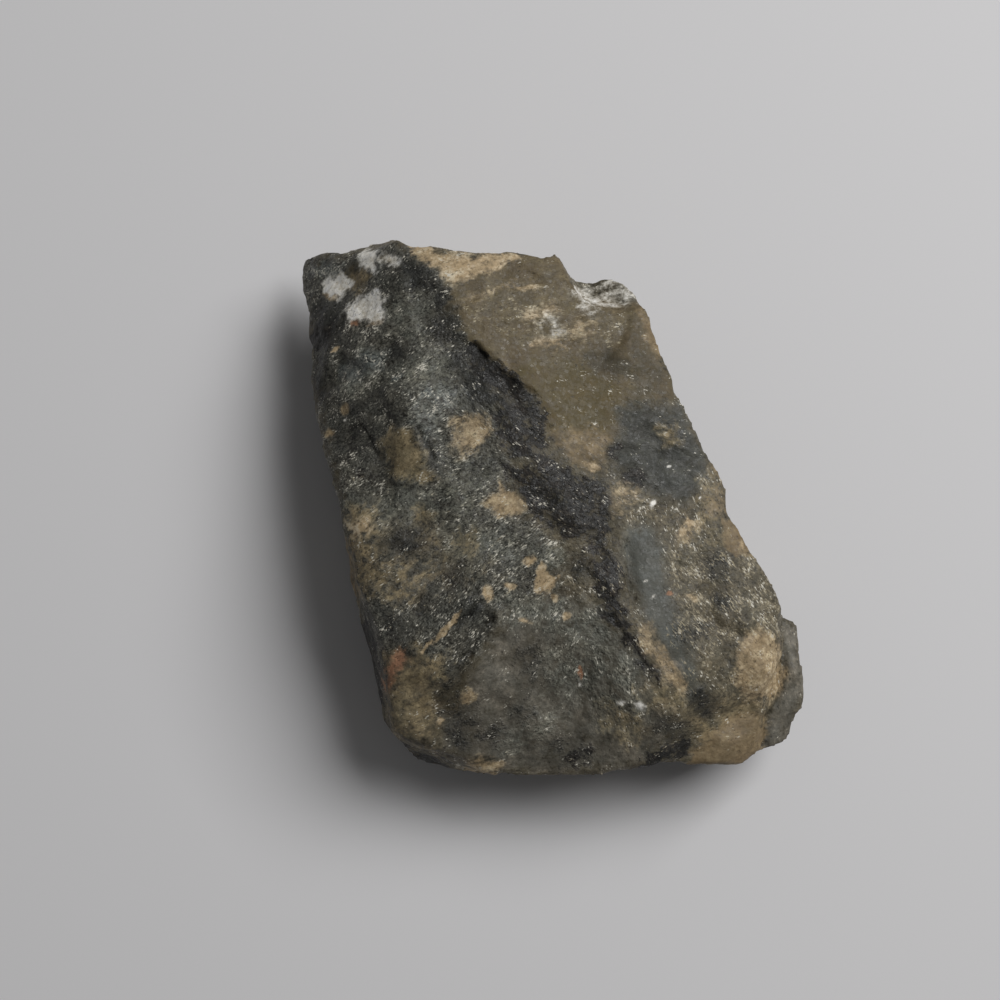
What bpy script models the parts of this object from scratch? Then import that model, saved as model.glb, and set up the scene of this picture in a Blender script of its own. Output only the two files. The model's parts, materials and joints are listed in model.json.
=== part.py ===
"""A rough chunk of labradorite: one broken block of dark feldspar, wider than it is thick.

Metres, +Z up. The origin is on the surface that the block rests on, under its middle.
The block is one loft. Rings run from the highest part of the top out to the broken rim,
down the fracture faces to the foot, and in under the block to the flat spot that it rests on.
"""

import math
import random

import bmesh
import bpy
from mathutils import Matrix, Vector, kdtree, noise

MM = 0.001

# Driving dimensions, in millimetres.
CREST_HEIGHT = 19.4  # top of the crest, above the surface
FOOT_CUT = 0.5  # how much of the underside's roughness is cut off level
LOBE_HEIGHT = 8.5  # the low lobes at the front right corner
LUMP_HEIGHT = 12.4  # the low pale lump behind the notch

# Slopes of the top's three broken faces, as fall per millimetre.
LEFT_FALL = 0.07
RIGHT_FALL = 0.25
ALONG_FALL = 0.05

# Where the top rounds down towards two of its corners: the direction in degrees, how far out it
# begins, and how quickly it steepens.
CORNER_FALLS = {
    "back left": (165, 15.0, 0.030),
    "front right": (-40, 20.0, 0.022),
}

# How finely the block is cut: the loft first, then an even net, then what is kept of it.
RIM_STEPS = 360
TOP_RINGS = 64
WALL_RINGS = 18
UNDER_RINGS = 24
NET_SIZE = 0.5
KEPT_SHARE = 0.13
WALL_BULGE = 0.06  # how much the walls swell between rim and foot, as a share of the way in
RIM_SPARE = 0.2  # how far the rim is laid out beyond its line, before its edge is worn back to it

# How strongly the top is broken up beside the rest of the block. The roughness begins and is
# whole at these distances in from the rim's line, and at these depths below the rim.
TOP_SHARE = 0.5
QUIET_RIM = (0.0, 3.0)
QUIET_DEPTH = (0.8, 3.2)

HEART = Vector((-0.5, 0.5))  # the plan point that every ring closes towards

# The rim seen from above, anticlockwise from the back left corner, in millimetres.
RIM = {
    "left edge": [
        (-28.8, 28.0), (-27.3, 22.2), (-27.6, 20.9), (-26.7, 18.6), (-26.7, 17.3), (-27.1, 15.1),
        (-26.8, 12.5), (-26.4, 11.4), (-25.1, 6.1), (-23.5, 1.4), (-22.5, -7.6), (-20.4, -14.5),
        (-19.1, -21.2), (-18.5, -23.5),
    ],
    "front edge": [
        (-15.8, -26.6), (-14.7, -27.4), (-7.6, -28.9), (0.8, -29.2), (4.0, -29.1), (9.8, -28.3), (11.9, -27.6),
    ],
    "amber lobe": [(13.4, -27.5), (14.8, -28.1), (20.3, -28.1), (21.4, -27.6), (22.5, -26.5)],
    "grey lobe": [
        (23.8, -26.3), (25.5, -25.7), (27.0, -24.5), (27.0, -22.6), (28.3, -21.4), (28.4, -19.9),
        (28.0, -18.2), (28.1, -15.5), (28.1, -13.0), (27.7, -11.8),
    ],
    "right edge": [
        (25.6, -11.4), (24.3, -8.2), (23.3, -6.5), (22.0, -5.1), (20.4, -1.6), (19.4, -1.0), (19.4, 1.9),
        (17.8, 5.5), (17.1, 5.9), (15.6, 10.0), (13.5, 13.4), (13.4, 14.5), (11.1, 19.9), (10.9, 21.8),
        (10.0, 23.3),
    ],
    "pale lump": [
        (9.5, 24.6), (8.4, 25.9), (7.1, 26.2), (6.5, 26.7), (5.7, 26.5), (5.0, 26.0), (4.4, 25.9),
        (3.8, 26.3), (2.6, 26.0),
    ],
    "back edge": [
        (1.6, 26.9), (0.9, 28.7), (-0.3, 28.4), (-1.0, 27.8), (-1.6, 28.2), (-2.4, 28.4), (-3.0, 28.3),
        (-4.6, 28.7), (-7.2, 28.1), (-11.0, 28.3), (-13.2, 28.9), (-15.5, 28.8), (-16.5, 29.3),
    ],
    "dark nub": [
        (-16.9, 30.9), (-17.3, 31.0), (-19.9, 30.6), (-21.9, 29.9), (-22.7, 30.0), (-23.8, 29.8),
        (-24.6, 30.4), (-27.7, 30.5), (-28.5, 30.2),
    ],
}

# The rim's main corners, and the foot's, without the chips of the rim itself.
RIM_CORNERS = [
    (-28.8, 29.7), (-27.1, 16.3), (-23.2, -1.9), (-18.1, -23.9), (-13.5, -28.0), (10.0, -28.6),
    (22.0, -27.7), (28.6, -20.8), (27.3, -11.8), (21.5, -4.0), (13.6, 13.8), (9.6, 25.2), (0.0, 28.6),
    (-17.1, 30.5),
]
FOOT_CORNERS = [
    (-26.0, 25.6), (-25.8, 9.0), (-20.2, -6.0), (-16.4, -22.6), (-7.0, -26.4), (8.0, -24.6),
    (22.5, -25.2), (26.0, -17.0), (16.4, -4.6), (10.2, 8.4), (6.6, 22.0), (-8.0, 25.4), (-20.0, 27.8),
]

# The crest runs from near the back left to the front right: a point on it, and its direction.
CREST_POINT = Vector((-10.8, 19.8))
CREST_WAY = Vector((0.522, -0.853))

# Steps in the top: a line of points, the drop in millimetres on its right-hand side as one walks
# it, and how far from the line the drop fades out again.
LEDGES = {
    "under the brown slab": (
        [(-12.0, 23.4), (-9.9, 18.8), (-8.4, 17.1), (-5.3, 14.5), (-1.3, 11.4), (-0.8, 9.4)],
        0.55, 9.0,
    ),
    "front fan, inner": ([(-5.4, -7.6), (-6.3, -10.0), (-8.9, -13.3), (-10.6, -18.1)], -0.9, 6.0),
    "front fan, outer": ([(-6.6, -9.4), (-9.4, -12.3), (-13.6, -15.5)], -0.6, 4.0),
    "black seam": ([(15.5, -25.5), (11.2, -17.2), (7.2, -11.2), (4.0, -5.0)], 0.4, 5.0),
    "left shelf": ([(-22.7, 11.0), (-18.4, 6.0), (-17.2, 0.5)], 0.5, 5.0),
    "middle shelf": ([(-14.6, 10.2), (-12.6, 5.3), (-10.4, 1.1)], -0.45, 5.0),
}

# Low places at the rim that stand under the main top: a line round them, walked so that the low
# place is on the right, the height of the low place, and how far the way down to it takes.
SHELVES = {
    "grey lobe": ([(23.1, -28.5), (23.7, -21.1), (24.2, -15.2), (25.4, -11.3), (29.3, -9.8)], LOBE_HEIGHT, 1.5),
    "amber lobe": ([(12.7, -29.0), (13.9, -25.6), (16.1, -22.6), (19.5, -21.1), (24.9, -20.7)], LOBE_HEIGHT + 2.2, 4.5),
    "pale lump": ([(12.0, 24.2), (7.6, 22.6), (4.2, 23.4), (2.2, 25.6), (0.6, 29.0)], LUMP_HEIGHT, 1.5),
    "left wall": ([(-21.9, -5.9), (-20.3, -12.1), (-18.1, -21.1), (-17.9, -24.0)], 9.5, 1.5),
    "front left wall": ([(-18.0, -24.4), (-16.4, -25.6), (-14.4, -26.5), (-11.5, -27.4), (-8.5, -28.5)], 6.0, 1.5),
    "back wall": ([(-15.6, 30.9), (-18.7, 29.9), (-24.0, 28.8), (-28.3, 29.6)], 12.0, 1.5),
}

# Swellings and hollows of the top: plan centre, reach and height, in millimetres.
SWELLINGS = {
    "back left knob": ((-27.3, 29.3), 3.2, 0.9),
    "back left hollow": ((-23.2, 25.9), 2.6, -1.0),
    "silver hollow": ((-20.6, 22.1), 2.6, -0.5),
    "tan boss": ((22.1, -17.7), 4.2, 0.9),
    "amber boss": ((18.1, -24.7), 4.4, 1.1),
    "grey boss": ((26.7, -17.4), 3.0, 0.9),
    "pale boss": ((7.4, 25.6), 2.6, 0.8),
    "brown hollow": ((3.4, 13.4), 6.0, -0.5),
    "middle swell": ((-8.6, 0.4), 6.0, 0.5),
    "left swell": ((-16.0, 14.0), 7.0, 0.5),
    "fan hollow": ((1.0, -19.0), 7.0, -0.5),
}

# Where the underside rises from the flat spot: outward direction in degrees, the distance from
# the middle where the rise begins, and its slope.
UNDER_RISES = {
    "right": (22, 4.5, 0.34),
    "front right": (-48, 8.5, 0.24),
    "front": (-94, 7.5, 0.16),
    "left": (186, 6.0, 0.18),
    "back": (86, 7.0, 0.14),
    "back left": (136, 10.0, 0.22),
}

# Broken faces that are smoother than the rest: a plan centre, a reach, and how much smoother.
CALM_FACES = {
    "brown slab, middle": ((2.5, 12.4), 5.6, 0.8),
    "brown slab, tip": ((3.6, 6.2), 3.4, 0.8),
    "brown slab, left": ((-4.4, 17.8), 3.4, 0.6),
    "grey plane, upper": ((9.8, -5.6), 3.6, 0.7),
    "grey plane, lower": ((11.2, -11.2), 3.6, 0.7),
}


def clear_scene():
    for obj in list(bpy.data.objects):
        bpy.data.objects.remove(obj)


def smooth_step(low, high, value):
    t = min(max((value - low) / (high - low), 0.0), 1.0)
    return t * t * (3 - 2 * t)


def evenly_along(points, count):
    """Points at equal steps along a closed line."""
    corners = [Vector(p) for p in points]
    sides = list(zip(corners, corners[1:] + corners[:1]))
    step = sum((b - a).length for a, b in sides) / count
    found, walked = [], 0.0
    for a, b in sides:
        length = (b - a).length
        while len(found) < count and len(found) * step < walked + length:
            found.append(a.lerp(b, (len(found) * step - walked) / length))
        walked += length
    return found


def cast_to(corners, direction):
    """Where a ray from the heart meets a closed line of corners."""
    points = [Vector(p) - HEART for p in corners]
    for a, b in zip(points, points[1:] + points[:1]):
        side = b - a
        across = direction.cross(side)
        if abs(across) < 1e-9:
            continue
        reach, along = a.cross(side) / across, a.cross(direction) / across
        if reach > 0 and -1e-6 <= along <= 1 + 1e-6:
            return HEART + direction * reach
    raise ValueError("the ray misses the line")


def beside(line, point):
    """(distance from a line of points, positive on its right; how far past its ends)."""
    best = None
    last = len(line) - 2
    for i, (a, b) in enumerate(zip(line, line[1:])):
        a, b = Vector(a), Vector(b)
        side = b - a
        along = (point - a).dot(side) / side.length_squared
        near = a + side * min(max(along, 0.0), 1.0)
        away = (point - near).length
        past = 0.0
        if i == 0 and along < 0:
            past = -along * side.length
        if i == last and along > 1:
            past = (along - 1) * side.length
        if best is None or away < best[0]:
            right = side.cross(point - a) < 0
            best = (away, away if right else -away, past)
    return best[1], best[2]


def ledge_drop(point):
    """How far all the ledges lower the top at a plan point."""
    total = 0.0
    for line, drop, fade in LEDGES.values():
        away, past = beside(line, point)
        if away < -0.3 or away > fade:
            continue
        step = smooth_step(-0.3, 0.45, away) * (1 - smooth_step(0.5, fade, away))
        total += drop * step * (1 - smooth_step(0.0, 3.0, past))
    return total


def swelling(point):
    total = 0.0
    for centre, reach, height in SWELLINGS.values():
        away = (point - Vector(centre)).length / reach
        if away < 1.6:
            total += height * math.exp(-2.2 * away * away)
    return total


def top_height(point):
    """Height of the top over a plan point, before its roughness."""
    right_of_crest = (point - CREST_POINT).dot(Vector((-CREST_WAY.y, CREST_WAY.x)))
    down_crest = (point - CREST_POINT).dot(CREST_WAY)
    along = CREST_HEIGHT - ALONG_FALL * down_crest
    height = min(along + LEFT_FALL * right_of_crest, along - RIGHT_FALL * right_of_crest)
    front = max(0.0, -9.0 - point.y - 0.30 * abs(point.x + 1.5))
    height -= 0.09 * front + 0.0085 * front * front
    left = max(0.0, -19.5 - point.x - 0.22 * point.y)
    height -= 0.055 * left * left
    back = max(0.0, point.y - 25.0)
    height -= 0.05 * back * back
    for degrees, start, steepening in CORNER_FALLS.values():
        way = Vector((math.cos(math.radians(degrees)), math.sin(math.radians(degrees))))
        height -= steepening * max(0.0, point.dot(way) - start) ** 2
    height -= ledge_drop(point)
    for line, low, reach in SHELVES.values():
        away, past = beside(line, point)
        if away > -0.4 * reach and past < 3.0:
            sink = smooth_step(-0.4 * reach, 0.6 * reach, away) * (1 - smooth_step(0.0, 3.0, past))
            height = min(height, height + (low - height) * sink)
    return height + swelling(point)


def under_height(point):
    """Height of the underside over a plan point: flat in the middle, rising towards the edges."""
    height = 0.0
    for degrees, start, slope in UNDER_RISES.values():
        way = Vector((math.cos(math.radians(degrees)), math.sin(math.radians(degrees))))
        height = max(height, slope * (point.dot(way) - start))
    return height


def rim_line():
    """The rim as points at equal steps."""
    return evenly_along([p for stretch in RIM.values() for p in stretch], RIM_STEPS)


def loft_rings():
    """Every ring of the block as a list of points, from the top's middle to the foot's."""
    rays = [(p - HEART).normalized() for p in rim_line()]
    rim = [p + ray * RIM_SPARE for p, ray in zip(rim_line(), rays)]
    rim_plain = [cast_to(RIM_CORNERS, ray) for ray in rays]
    foot = [cast_to(FOOT_CORNERS, ray) for ray in rays]
    rings = []
    for i in range(1, TOP_RINGS + 1):
        share = (i / TOP_RINGS) ** 0.8
        plan = [HEART.lerp(p, share) for p in rim]
        rings.append([Vector((p.x, p.y, top_height(p))) for p in plan])
    rim_heights = [p.z for p in rings[-1]]
    foot_heights = [under_height(p) for p in foot]
    for i in range(1, WALL_RINGS + 1):
        down = i / WALL_RINGS
        chips = (1 - down) ** 3
        bulge = WALL_BULGE * math.sin(math.pi * down)
        ring = []
        for k, ray in enumerate(rays):
            plan = rim_plain[k].lerp(foot[k], down - bulge) + (rim[k] - rim_plain[k]) * chips
            ring.append(Vector((plan.x, plan.y, rim_heights[k] + (foot_heights[k] - rim_heights[k]) * down)))
        rings.append(ring)
    for i in range(1, UNDER_RINGS):
        share = 1 - i / UNDER_RINGS
        plan = [HEART.lerp(p, share) for p in foot]
        rings.append([Vector((p.x, p.y, under_height(p))) for p in plan])
    return rings


def build_block():
    """The loft's rings joined into one closed mesh."""
    bm = bmesh.new()
    loops = [[bm.verts.new(p) for p in ring] for ring in loft_rings()]
    for upper, lower in zip(loops, loops[1:]):
        for k in range(RIM_STEPS):
            m = (k + 1) % RIM_STEPS
            bm.faces.new((upper[k], upper[m], lower[m], lower[k]))
    crown = bm.verts.new((HEART.x, HEART.y, top_height(HEART)))
    for k in range(RIM_STEPS):
        bm.faces.new((crown, loops[0][(k + 1) % RIM_STEPS], loops[0][k]))
    bm.faces.new(loops[-1])
    bmesh.ops.recalc_face_normals(bm, faces=bm.faces)
    return bm


def to_object(bm, name):
    mesh = bpy.data.meshes.new(name)
    bm.to_mesh(mesh)
    bm.free()
    obj = bpy.data.objects.new(name, mesh)
    bpy.context.scene.collection.objects.link(obj)
    return obj


def baked(obj):
    """The surface of an object with its modifiers applied. The object is removed."""
    graph = bpy.context.evaluated_depsgraph_get()
    mesh = bpy.data.meshes.new_from_object(obj.evaluated_get(graph))
    bm = bmesh.new()
    bm.from_mesh(mesh)
    bpy.data.meshes.remove(mesh)
    bpy.data.objects.remove(obj)
    return bm


def even_net(block):
    """The same surface on a net of even squares."""
    remesh = block.modifiers.new("even", "REMESH")
    remesh.mode = "VOXEL"
    remesh.voxel_size = NET_SIZE
    return baked(block)


def thinned(block):
    """The same surface with large faces where it is flat."""
    thin = block.modifiers.new("thin", "DECIMATE")
    thin.ratio = KEPT_SHARE
    return baked(block)


def weigh(bm):
    """For every vertex, how strongly it may move out, how strongly in, and how far it faces sideways.

    The rim keeps its line. The walls under it are free to move in, but not out past it.
    """
    rim = rim_line()
    edge = kdtree.KDTree(len(rim))
    for i, p in enumerate(rim):
        edge.insert((p.x, p.y, 0.0), i)
    edge.balance()
    bm.normal_update()
    weights = []
    for v in bm.verts:
        calm = 0.0
        if v.normal.z > 0.4:
            for centre, reach, much in CALM_FACES.values():
                away = (v.co.xy - Vector(centre)).length / reach
                calm = max(calm, much * (1 - smooth_step(0.7, 1.2, away)))
        inside = edge.find((v.co.x, v.co.y, 0.0))[2]
        top = smooth_step(0.2, 0.7, v.normal.z)
        outward = (1 - calm) * smooth_step(*QUIET_RIM, inside) * (1 - top * (1 - TOP_SHARE))
        inward = smooth_step(*QUIET_DEPTH, top_height(v.co.xy) - v.co.z)
        weights.append((outward, max(outward, inward), 1 - abs(v.normal.z)))
    return weights


def push(bm, amounts, weights, sides):
    """Moves every vertex along its normal, and sides times as far down the sides."""
    bm.normal_update()
    for v, amount, (outward, inward, sideways) in zip(bm.verts, amounts, weights):
        strength = outward if amount > 0 else inward
        v.co += v.normal * (amount * strength * (1 + (sides - 1) * sideways))


def break_into_facets(bm, weights, size, tilt, step, seed, sides=1.0, grain=0.0, narrow=1.0):
    """Breaks the surface into small flats: each cell leans its own way and stands at its own level.

    The cells are long in the plan direction of grain, in degrees, where narrow is under 1.
    """
    draw = random.Random(seed)
    turn = Matrix.Diagonal((1.0, 1 / narrow, 1.0)) @ Matrix.Rotation(-math.radians(grain), 3, "Z")
    turned = [turn @ v.co for v in bm.verts]
    low = [min(p[i] for p in turned) - size for i in range(3)]
    high = [max(p[i] for p in turned) + size for i in range(3)]
    count = int(math.prod((h - w) / size for h, w in zip(high, low)))
    cells = kdtree.KDTree(count)
    leans = []
    for i in range(count):
        cells.insert([draw.uniform(w, h) for w, h in zip(low, high)], i)
        leans.append((Vector([draw.uniform(-tilt, tilt) for _ in range(3)]), draw.uniform(-step, step)))
    cells.balance()
    amounts = []
    for point in turned:
        centre, index, _ = cells.find(point)
        lean, level = leans[index]
        amounts.append(lean.dot(point - centre) + level)
    push(bm, amounts, weights, sides)


def roughen(bm, weights, size, height, seed, sides=1.0):
    """Rounded unevenness of one size."""
    away = Vector((seed * 17.3, seed * 5.1, seed * 11.7))
    push(bm, [height * noise.noise(v.co / size + away) for v in bm.verts], weights, sides)


def cut_level(bm, cut):
    """Cuts the underside off level, so that the block rests on a flat spot at height 0."""
    for v in bm.verts:
        v.co.z = max(v.co.z - cut, 0.0)


def centre(bm):
    """Moves the middle of the block over the origin."""
    for i in range(2):
        middle = (max(v.co[i] for v in bm.verts) + min(v.co[i] for v in bm.verts)) / 2
        for v in bm.verts:
            v.co[i] -= middle


def make_material():
    material = bpy.data.materials.new("labradorite")
    material.use_nodes = True
    shader = material.node_tree.nodes["Principled BSDF"]
    shader.inputs["Base Color"].default_value = (0.062, 0.058, 0.050, 1.0)
    shader.inputs["Roughness"].default_value = 0.5
    shader.inputs["Metallic"].default_value = 0.0
    return material


def main():
    clear_scene()
    bm = even_net(to_object(build_block(), "loft"))
    weights = weigh(bm)
    roughen(bm, weights, size=9.0, height=0.8, seed=1)
    break_into_facets(bm, weights, size=7.5, tilt=0.10, step=0.14, seed=7, sides=2.6)
    break_into_facets(bm, weights, size=3.2, tilt=0.13, step=0.14, seed=21, grain=35.0, narrow=0.55)
    roughen(bm, weights, size=2.2, height=0.22, seed=3)
    bmesh.ops.smooth_vert(bm, verts=bm.verts, factor=0.3, use_axis_x=True, use_axis_y=True, use_axis_z=True)
    cut_level(bm, FOOT_CUT)
    bm = thinned(to_object(bm, "rough"))
    cut_level(bm, 0.0)
    centre(bm)
    for v in bm.verts:
        v.co *= MM
    block = to_object(bm, "labradorite_chunk")
    block.data.materials.append(make_material())


main()
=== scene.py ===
# A rough chunk of labradorite on a pale floor, in soft light from one side.
import json
import math

import bpy
import numpy as np
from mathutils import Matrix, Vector, noise

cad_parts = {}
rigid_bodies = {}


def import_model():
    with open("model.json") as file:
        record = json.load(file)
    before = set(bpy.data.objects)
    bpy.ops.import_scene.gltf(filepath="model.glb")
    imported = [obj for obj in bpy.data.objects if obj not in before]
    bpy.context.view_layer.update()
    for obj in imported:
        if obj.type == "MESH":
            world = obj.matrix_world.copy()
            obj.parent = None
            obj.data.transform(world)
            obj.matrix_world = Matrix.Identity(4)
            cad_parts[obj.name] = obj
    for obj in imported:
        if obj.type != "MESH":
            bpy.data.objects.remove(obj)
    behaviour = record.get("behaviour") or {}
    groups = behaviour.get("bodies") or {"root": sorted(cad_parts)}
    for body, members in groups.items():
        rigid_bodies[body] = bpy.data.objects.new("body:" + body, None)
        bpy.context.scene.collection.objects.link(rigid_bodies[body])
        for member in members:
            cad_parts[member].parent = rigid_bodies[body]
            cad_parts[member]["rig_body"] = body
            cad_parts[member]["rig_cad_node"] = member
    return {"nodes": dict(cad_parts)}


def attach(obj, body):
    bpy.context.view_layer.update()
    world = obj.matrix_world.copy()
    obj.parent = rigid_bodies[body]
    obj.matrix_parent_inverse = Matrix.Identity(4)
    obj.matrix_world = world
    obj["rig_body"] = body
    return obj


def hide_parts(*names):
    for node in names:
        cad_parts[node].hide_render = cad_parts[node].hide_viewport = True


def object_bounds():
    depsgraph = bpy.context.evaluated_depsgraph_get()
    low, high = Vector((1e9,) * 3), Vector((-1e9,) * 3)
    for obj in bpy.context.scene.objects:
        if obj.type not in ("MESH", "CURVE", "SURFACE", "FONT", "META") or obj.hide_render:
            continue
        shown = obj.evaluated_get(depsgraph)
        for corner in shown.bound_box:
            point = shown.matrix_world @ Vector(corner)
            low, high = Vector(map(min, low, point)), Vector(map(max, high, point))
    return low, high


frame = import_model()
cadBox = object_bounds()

mm = 0.001
farAway = 1e9  # more than any distance on the stone

stage = {
    "aimAt": (-5.63, -0.05, 14.5),  # mm, the point in the middle of the frame
    "distance": 260.0,
    "leanBack": 8.0,  # degrees off straight down
    "frameWidth": 110.0,
    "sensorWidth": 36.0,
    "clipStart": 10.0,
    "lightAzimuth": 34.0,  # degrees from +X towards +Y
    "lightElevation": 48.5,
    "lightDistance": 700.0,
    "lightSize": (420.0, 450.0),
    "lightPower": 3.95,  # watts
    "fill": 0.088,
    "floorSize": 3000.0,
    "floorColour": "e6e5e6",
    "floorRoughness": 0.9,
    "floorMirror": 0.2,
}


def linearColour(hexText):
    parts = [int(hexText[i:i + 2], 16) / 255 for i in (0, 2, 4)]
    return [p / 12.92 if p <= 0.04045 else ((p + 0.055) / 1.055) ** 2.4 for p in parts] + [1.0]


def deselectAll():
    if bpy.context.object and bpy.context.object.mode != "OBJECT":
        bpy.ops.object.mode_set(mode="OBJECT")
    bpy.ops.object.select_all(action="DESELECT")


def setCamera():
    lean = math.radians(stage["leanBack"])
    back = Vector((0.0, -math.sin(lean), math.cos(lean)))
    place = (Vector(stage["aimAt"]) + back * stage["distance"]) * mm
    bpy.ops.object.camera_add(location=place, rotation=(lean, 0.0, 0.0))
    camera = bpy.context.object
    camera.name = "camera"
    camera.data.sensor_width = stage["sensorWidth"]
    camera.data.lens = stage["sensorWidth"] * stage["distance"] / stage["frameWidth"]
    camera.data.clip_start = stage["clipStart"] * mm
    bpy.context.scene.camera = camera


def setLight():
    azimuth = math.radians(stage["lightAzimuth"])
    elevation = math.radians(stage["lightElevation"])
    level = math.cos(elevation)
    way = Vector((math.cos(azimuth) * level, math.sin(azimuth) * level, math.sin(elevation)))
    turn = way.to_track_quat("Z", "Y").to_euler()
    bpy.ops.object.light_add(type="AREA", location=way * stage["lightDistance"] * mm, rotation=turn)
    lamp = bpy.context.object
    lamp.name = "window"
    lamp.data.shape = "RECTANGLE"
    lamp.data.size = stage["lightSize"][0] * mm
    lamp.data.size_y = stage["lightSize"][1] * mm
    lamp.data.energy = stage["lightPower"]
    world = bpy.data.worlds.new("fill")
    world.use_nodes = True
    world.node_tree.nodes["Background"].inputs["Color"].default_value = (1.0, 1.0, 1.0, 1.0)
    world.node_tree.nodes["Background"].inputs["Strength"].default_value = stage["fill"]
    bpy.context.scene.world = world
    bpy.context.scene.view_settings.view_transform = "Standard"


def setFloor():
    deselectAll()
    bpy.ops.mesh.primitive_plane_add(size=stage["floorSize"] * mm)
    floor = bpy.context.object
    floor.name = "floor"
    material = bpy.data.materials.new("paleFloor")
    material.use_nodes = True
    shader = material.node_tree.nodes["Principled BSDF"]
    shader.inputs["Base Color"].default_value = linearColour(stage["floorColour"])
    shader.inputs["Roughness"].default_value = stage["floorRoughness"]
    shader.inputs["Specular IOR Level"].default_value = stage["floorMirror"]
    floor.data.materials.append(material)


stoneShape = {
    "node": "labradorite_chunk",
    "mergeReach": 0.01,  # mm
    "voxel": 0.46,  # mm
    "smoothing": 2,
    "smoothingFactor": 0.5,
    "wearing": 30,  # rounds of smoothing where the stone is worn
    "wornFacing": 0.1,
    "topFacing": 0.35,  # how far a spot faces up to count as the top
    "topBlend": (0.15, 0.55),  # the facings between which the sides' relief gives way to the top's
    # length, width, lean and step of the flats that the grain breaks into, in mm, and a seed
    "topFlats": [(3.4, 1.5, 0.03, 0.025, 15), (1.5, 0.7, 0.05, 0.02, 16)],
    "sideFlats": [(3.0, 2.4, 0.05, 0.05, 25), (1.5, 1.2, 0.07, 0.03, 26)],
    # length, width and height of the ridges along the grain, in mm, and a seed
    "ridges": [(4.0, 0.9, 0.06, 40), (1.6, 0.45, 0.04, 41)],
    # size and height of the broad swells, in mm, and a seed
    "topSwell": (5.0, 0.10, 5),
    "sideSwell": (3.0, 0.10, 6),
    # size in mm, reach in mm and seeds of the noise that drags places about
    "runWander": (3.0, 1.5, (71, 72)),
    "lineWaver": (1.0, 0.25, (81, 82)),
    # in mm: where one run of grain gives way to the next, and how the edge of a smooth face,
    # a step's own edge, its far side and its ends fade
    "runFade": (0.1, 1.0),
    "calmFade": (-0.6, 0.6),
    "stepEdge": (-0.12, 0.18),
    "stepFadeStart": 0.2,
    "stepEnds": (0.0, 1.5),
    "footFade": (0.05, 0.6),  # mm above the floor: the spot that it rests on stays flat
    "depthScale": 2.0,
}

# Which way the grain runs, in degrees: each spot of the top follows the nearest of these.
grainRuns = [
    ((-20.0, 20.1), 32), ((-17.8, 7.6), 32), ((-12.8, 15.5), 36), ((-9.8, 2.5), 28), ((-17.8, -6.6), 36),
    ((-11.8, -14.5), 46), ((-14.8, -22.5), 28), ((-4.8, 12.0), -38), ((-1.8, 6.5), -34), ((1.2, 0.0), -30),
    ((-3.8, -4.5), 35), ((-1.8, 21.5), 8), ((6.2, 20.5), 12), ((3.2, 10.5), -15), ((-7.8, 26.0), 20),
    ((12.2, 5.5), -20), ((18.2, -1.5), -62), ((9.7, -7.5), -62), ((17.2, -9.5), -48), ((21.3, -18.4), -45),
    ((12.1, -18.5), -50), ((7.7, -11.5), -52), ((6.2, -20.5), -66), ((0.2, -17.5), 60), ((-3.8, -25.5), 22),
    ((27.0, -20.3), -80), ((19.3, -26.4), 10),
]

# Grooves in the top: the line that they follow, how wide and how deep.
grooves = {
    "leftShort": ([(-14.5, 7.3), (-13.7, 5.6), (-12.7, 3.9)], 0.3, 0.28),
    "leftDiagonal": ([(-21.0, 11.5), (-19.9, 12.2), (-18.6, 12.8)], 0.22, 0.22),
    "leftCurve": ([(-20.7, 8.0), (-19.9, 6.2), (-18.7, 4.2)], 0.25, 0.22),
    "leftUpper": ([(-18.8, 16.8), (-17.7, 17.2), (-16.5, 17.7)], 0.2, 0.18),
    "fanInner": ([(-10.5, -14.0), (-9.1, -13.0), (-7.8, -11.7)], 0.34, 0.42),
    "fanOuter": ([(-9.6, -17.9), (-8.3, -16.4), (-6.9, -14.7), (-6.5, -13.2)], 0.32, 0.42),
    "fanFoot": ([(-12.7, -22.0), (-11.0, -20.4), (-9.4, -18.2)], 0.6, 0.25),
    "seamUpper": ([(3.9, -8.1), (5.0, -10.5)], 0.22, 0.1),
    "seamMiddle": ([(6.3, -12.9), (7.8, -15.1)], 0.22, 0.12),
    "seamLower": ([(9.3, -17.1), (10.4, -18.7)], 0.2, 0.1),
    "slit": ([(8.0, -8.6), (8.3, -9.6), (8.5, -10.2)], 0.22, 0.3),
    "underTriangle": ([(-0.2, -10.3), (-0.1, -11.3), (0.0, -12.4)], 0.2, 0.2),
    "slabGap": ([(-8.6, 16.6), (-7.8, 15.8), (-7.1, 15.3)], 0.3, 0.5),
    "slabGapLow": ([(-6.5, 15.0), (-5.6, 14.4)], 0.2, 0.3),
    "lobeCrease": ([(25.7, -13.2), (26.0, -17.3), (25.4, -21.5), (24.2, -23.7), (23.9, -26.8)], 0.4, 0.4),
}

# Steps in the top: a line that is walked with the low side on the right, the drop, and how far it takes
# to fade.
steps = {
    "slabEdge": ([(-8.9, 16.9), (-8.2, 16.3), (-5.1, 13.6), (-2.1, 11.7)], 0.2, 2.0),
    "creamShelf": ([(0.9, 21.7), (-2.3, 20.5), (-4.3, 19.3)], -0.12, 1.5),
    "darkStreak": ([(-8.9, 21.4), (-3.7, 23.1), (-1.3, 23.7)], -0.1, 1.5),
    "planeEdge": ([(8.7, -12.3), (8.2, -8.3), (7.9, -5.5)], 0.22, 1.6),
    "fanRise": ([(-6.5, -13.2), (-8.3, -16.4), (-9.7, -18.3)], 0.2, 2.0),
    "streakRise": ([(-8.0, -11.5), (-10.5, -13.7), (-13.7, -17.2)], 0.15, 1.6),
}

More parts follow.
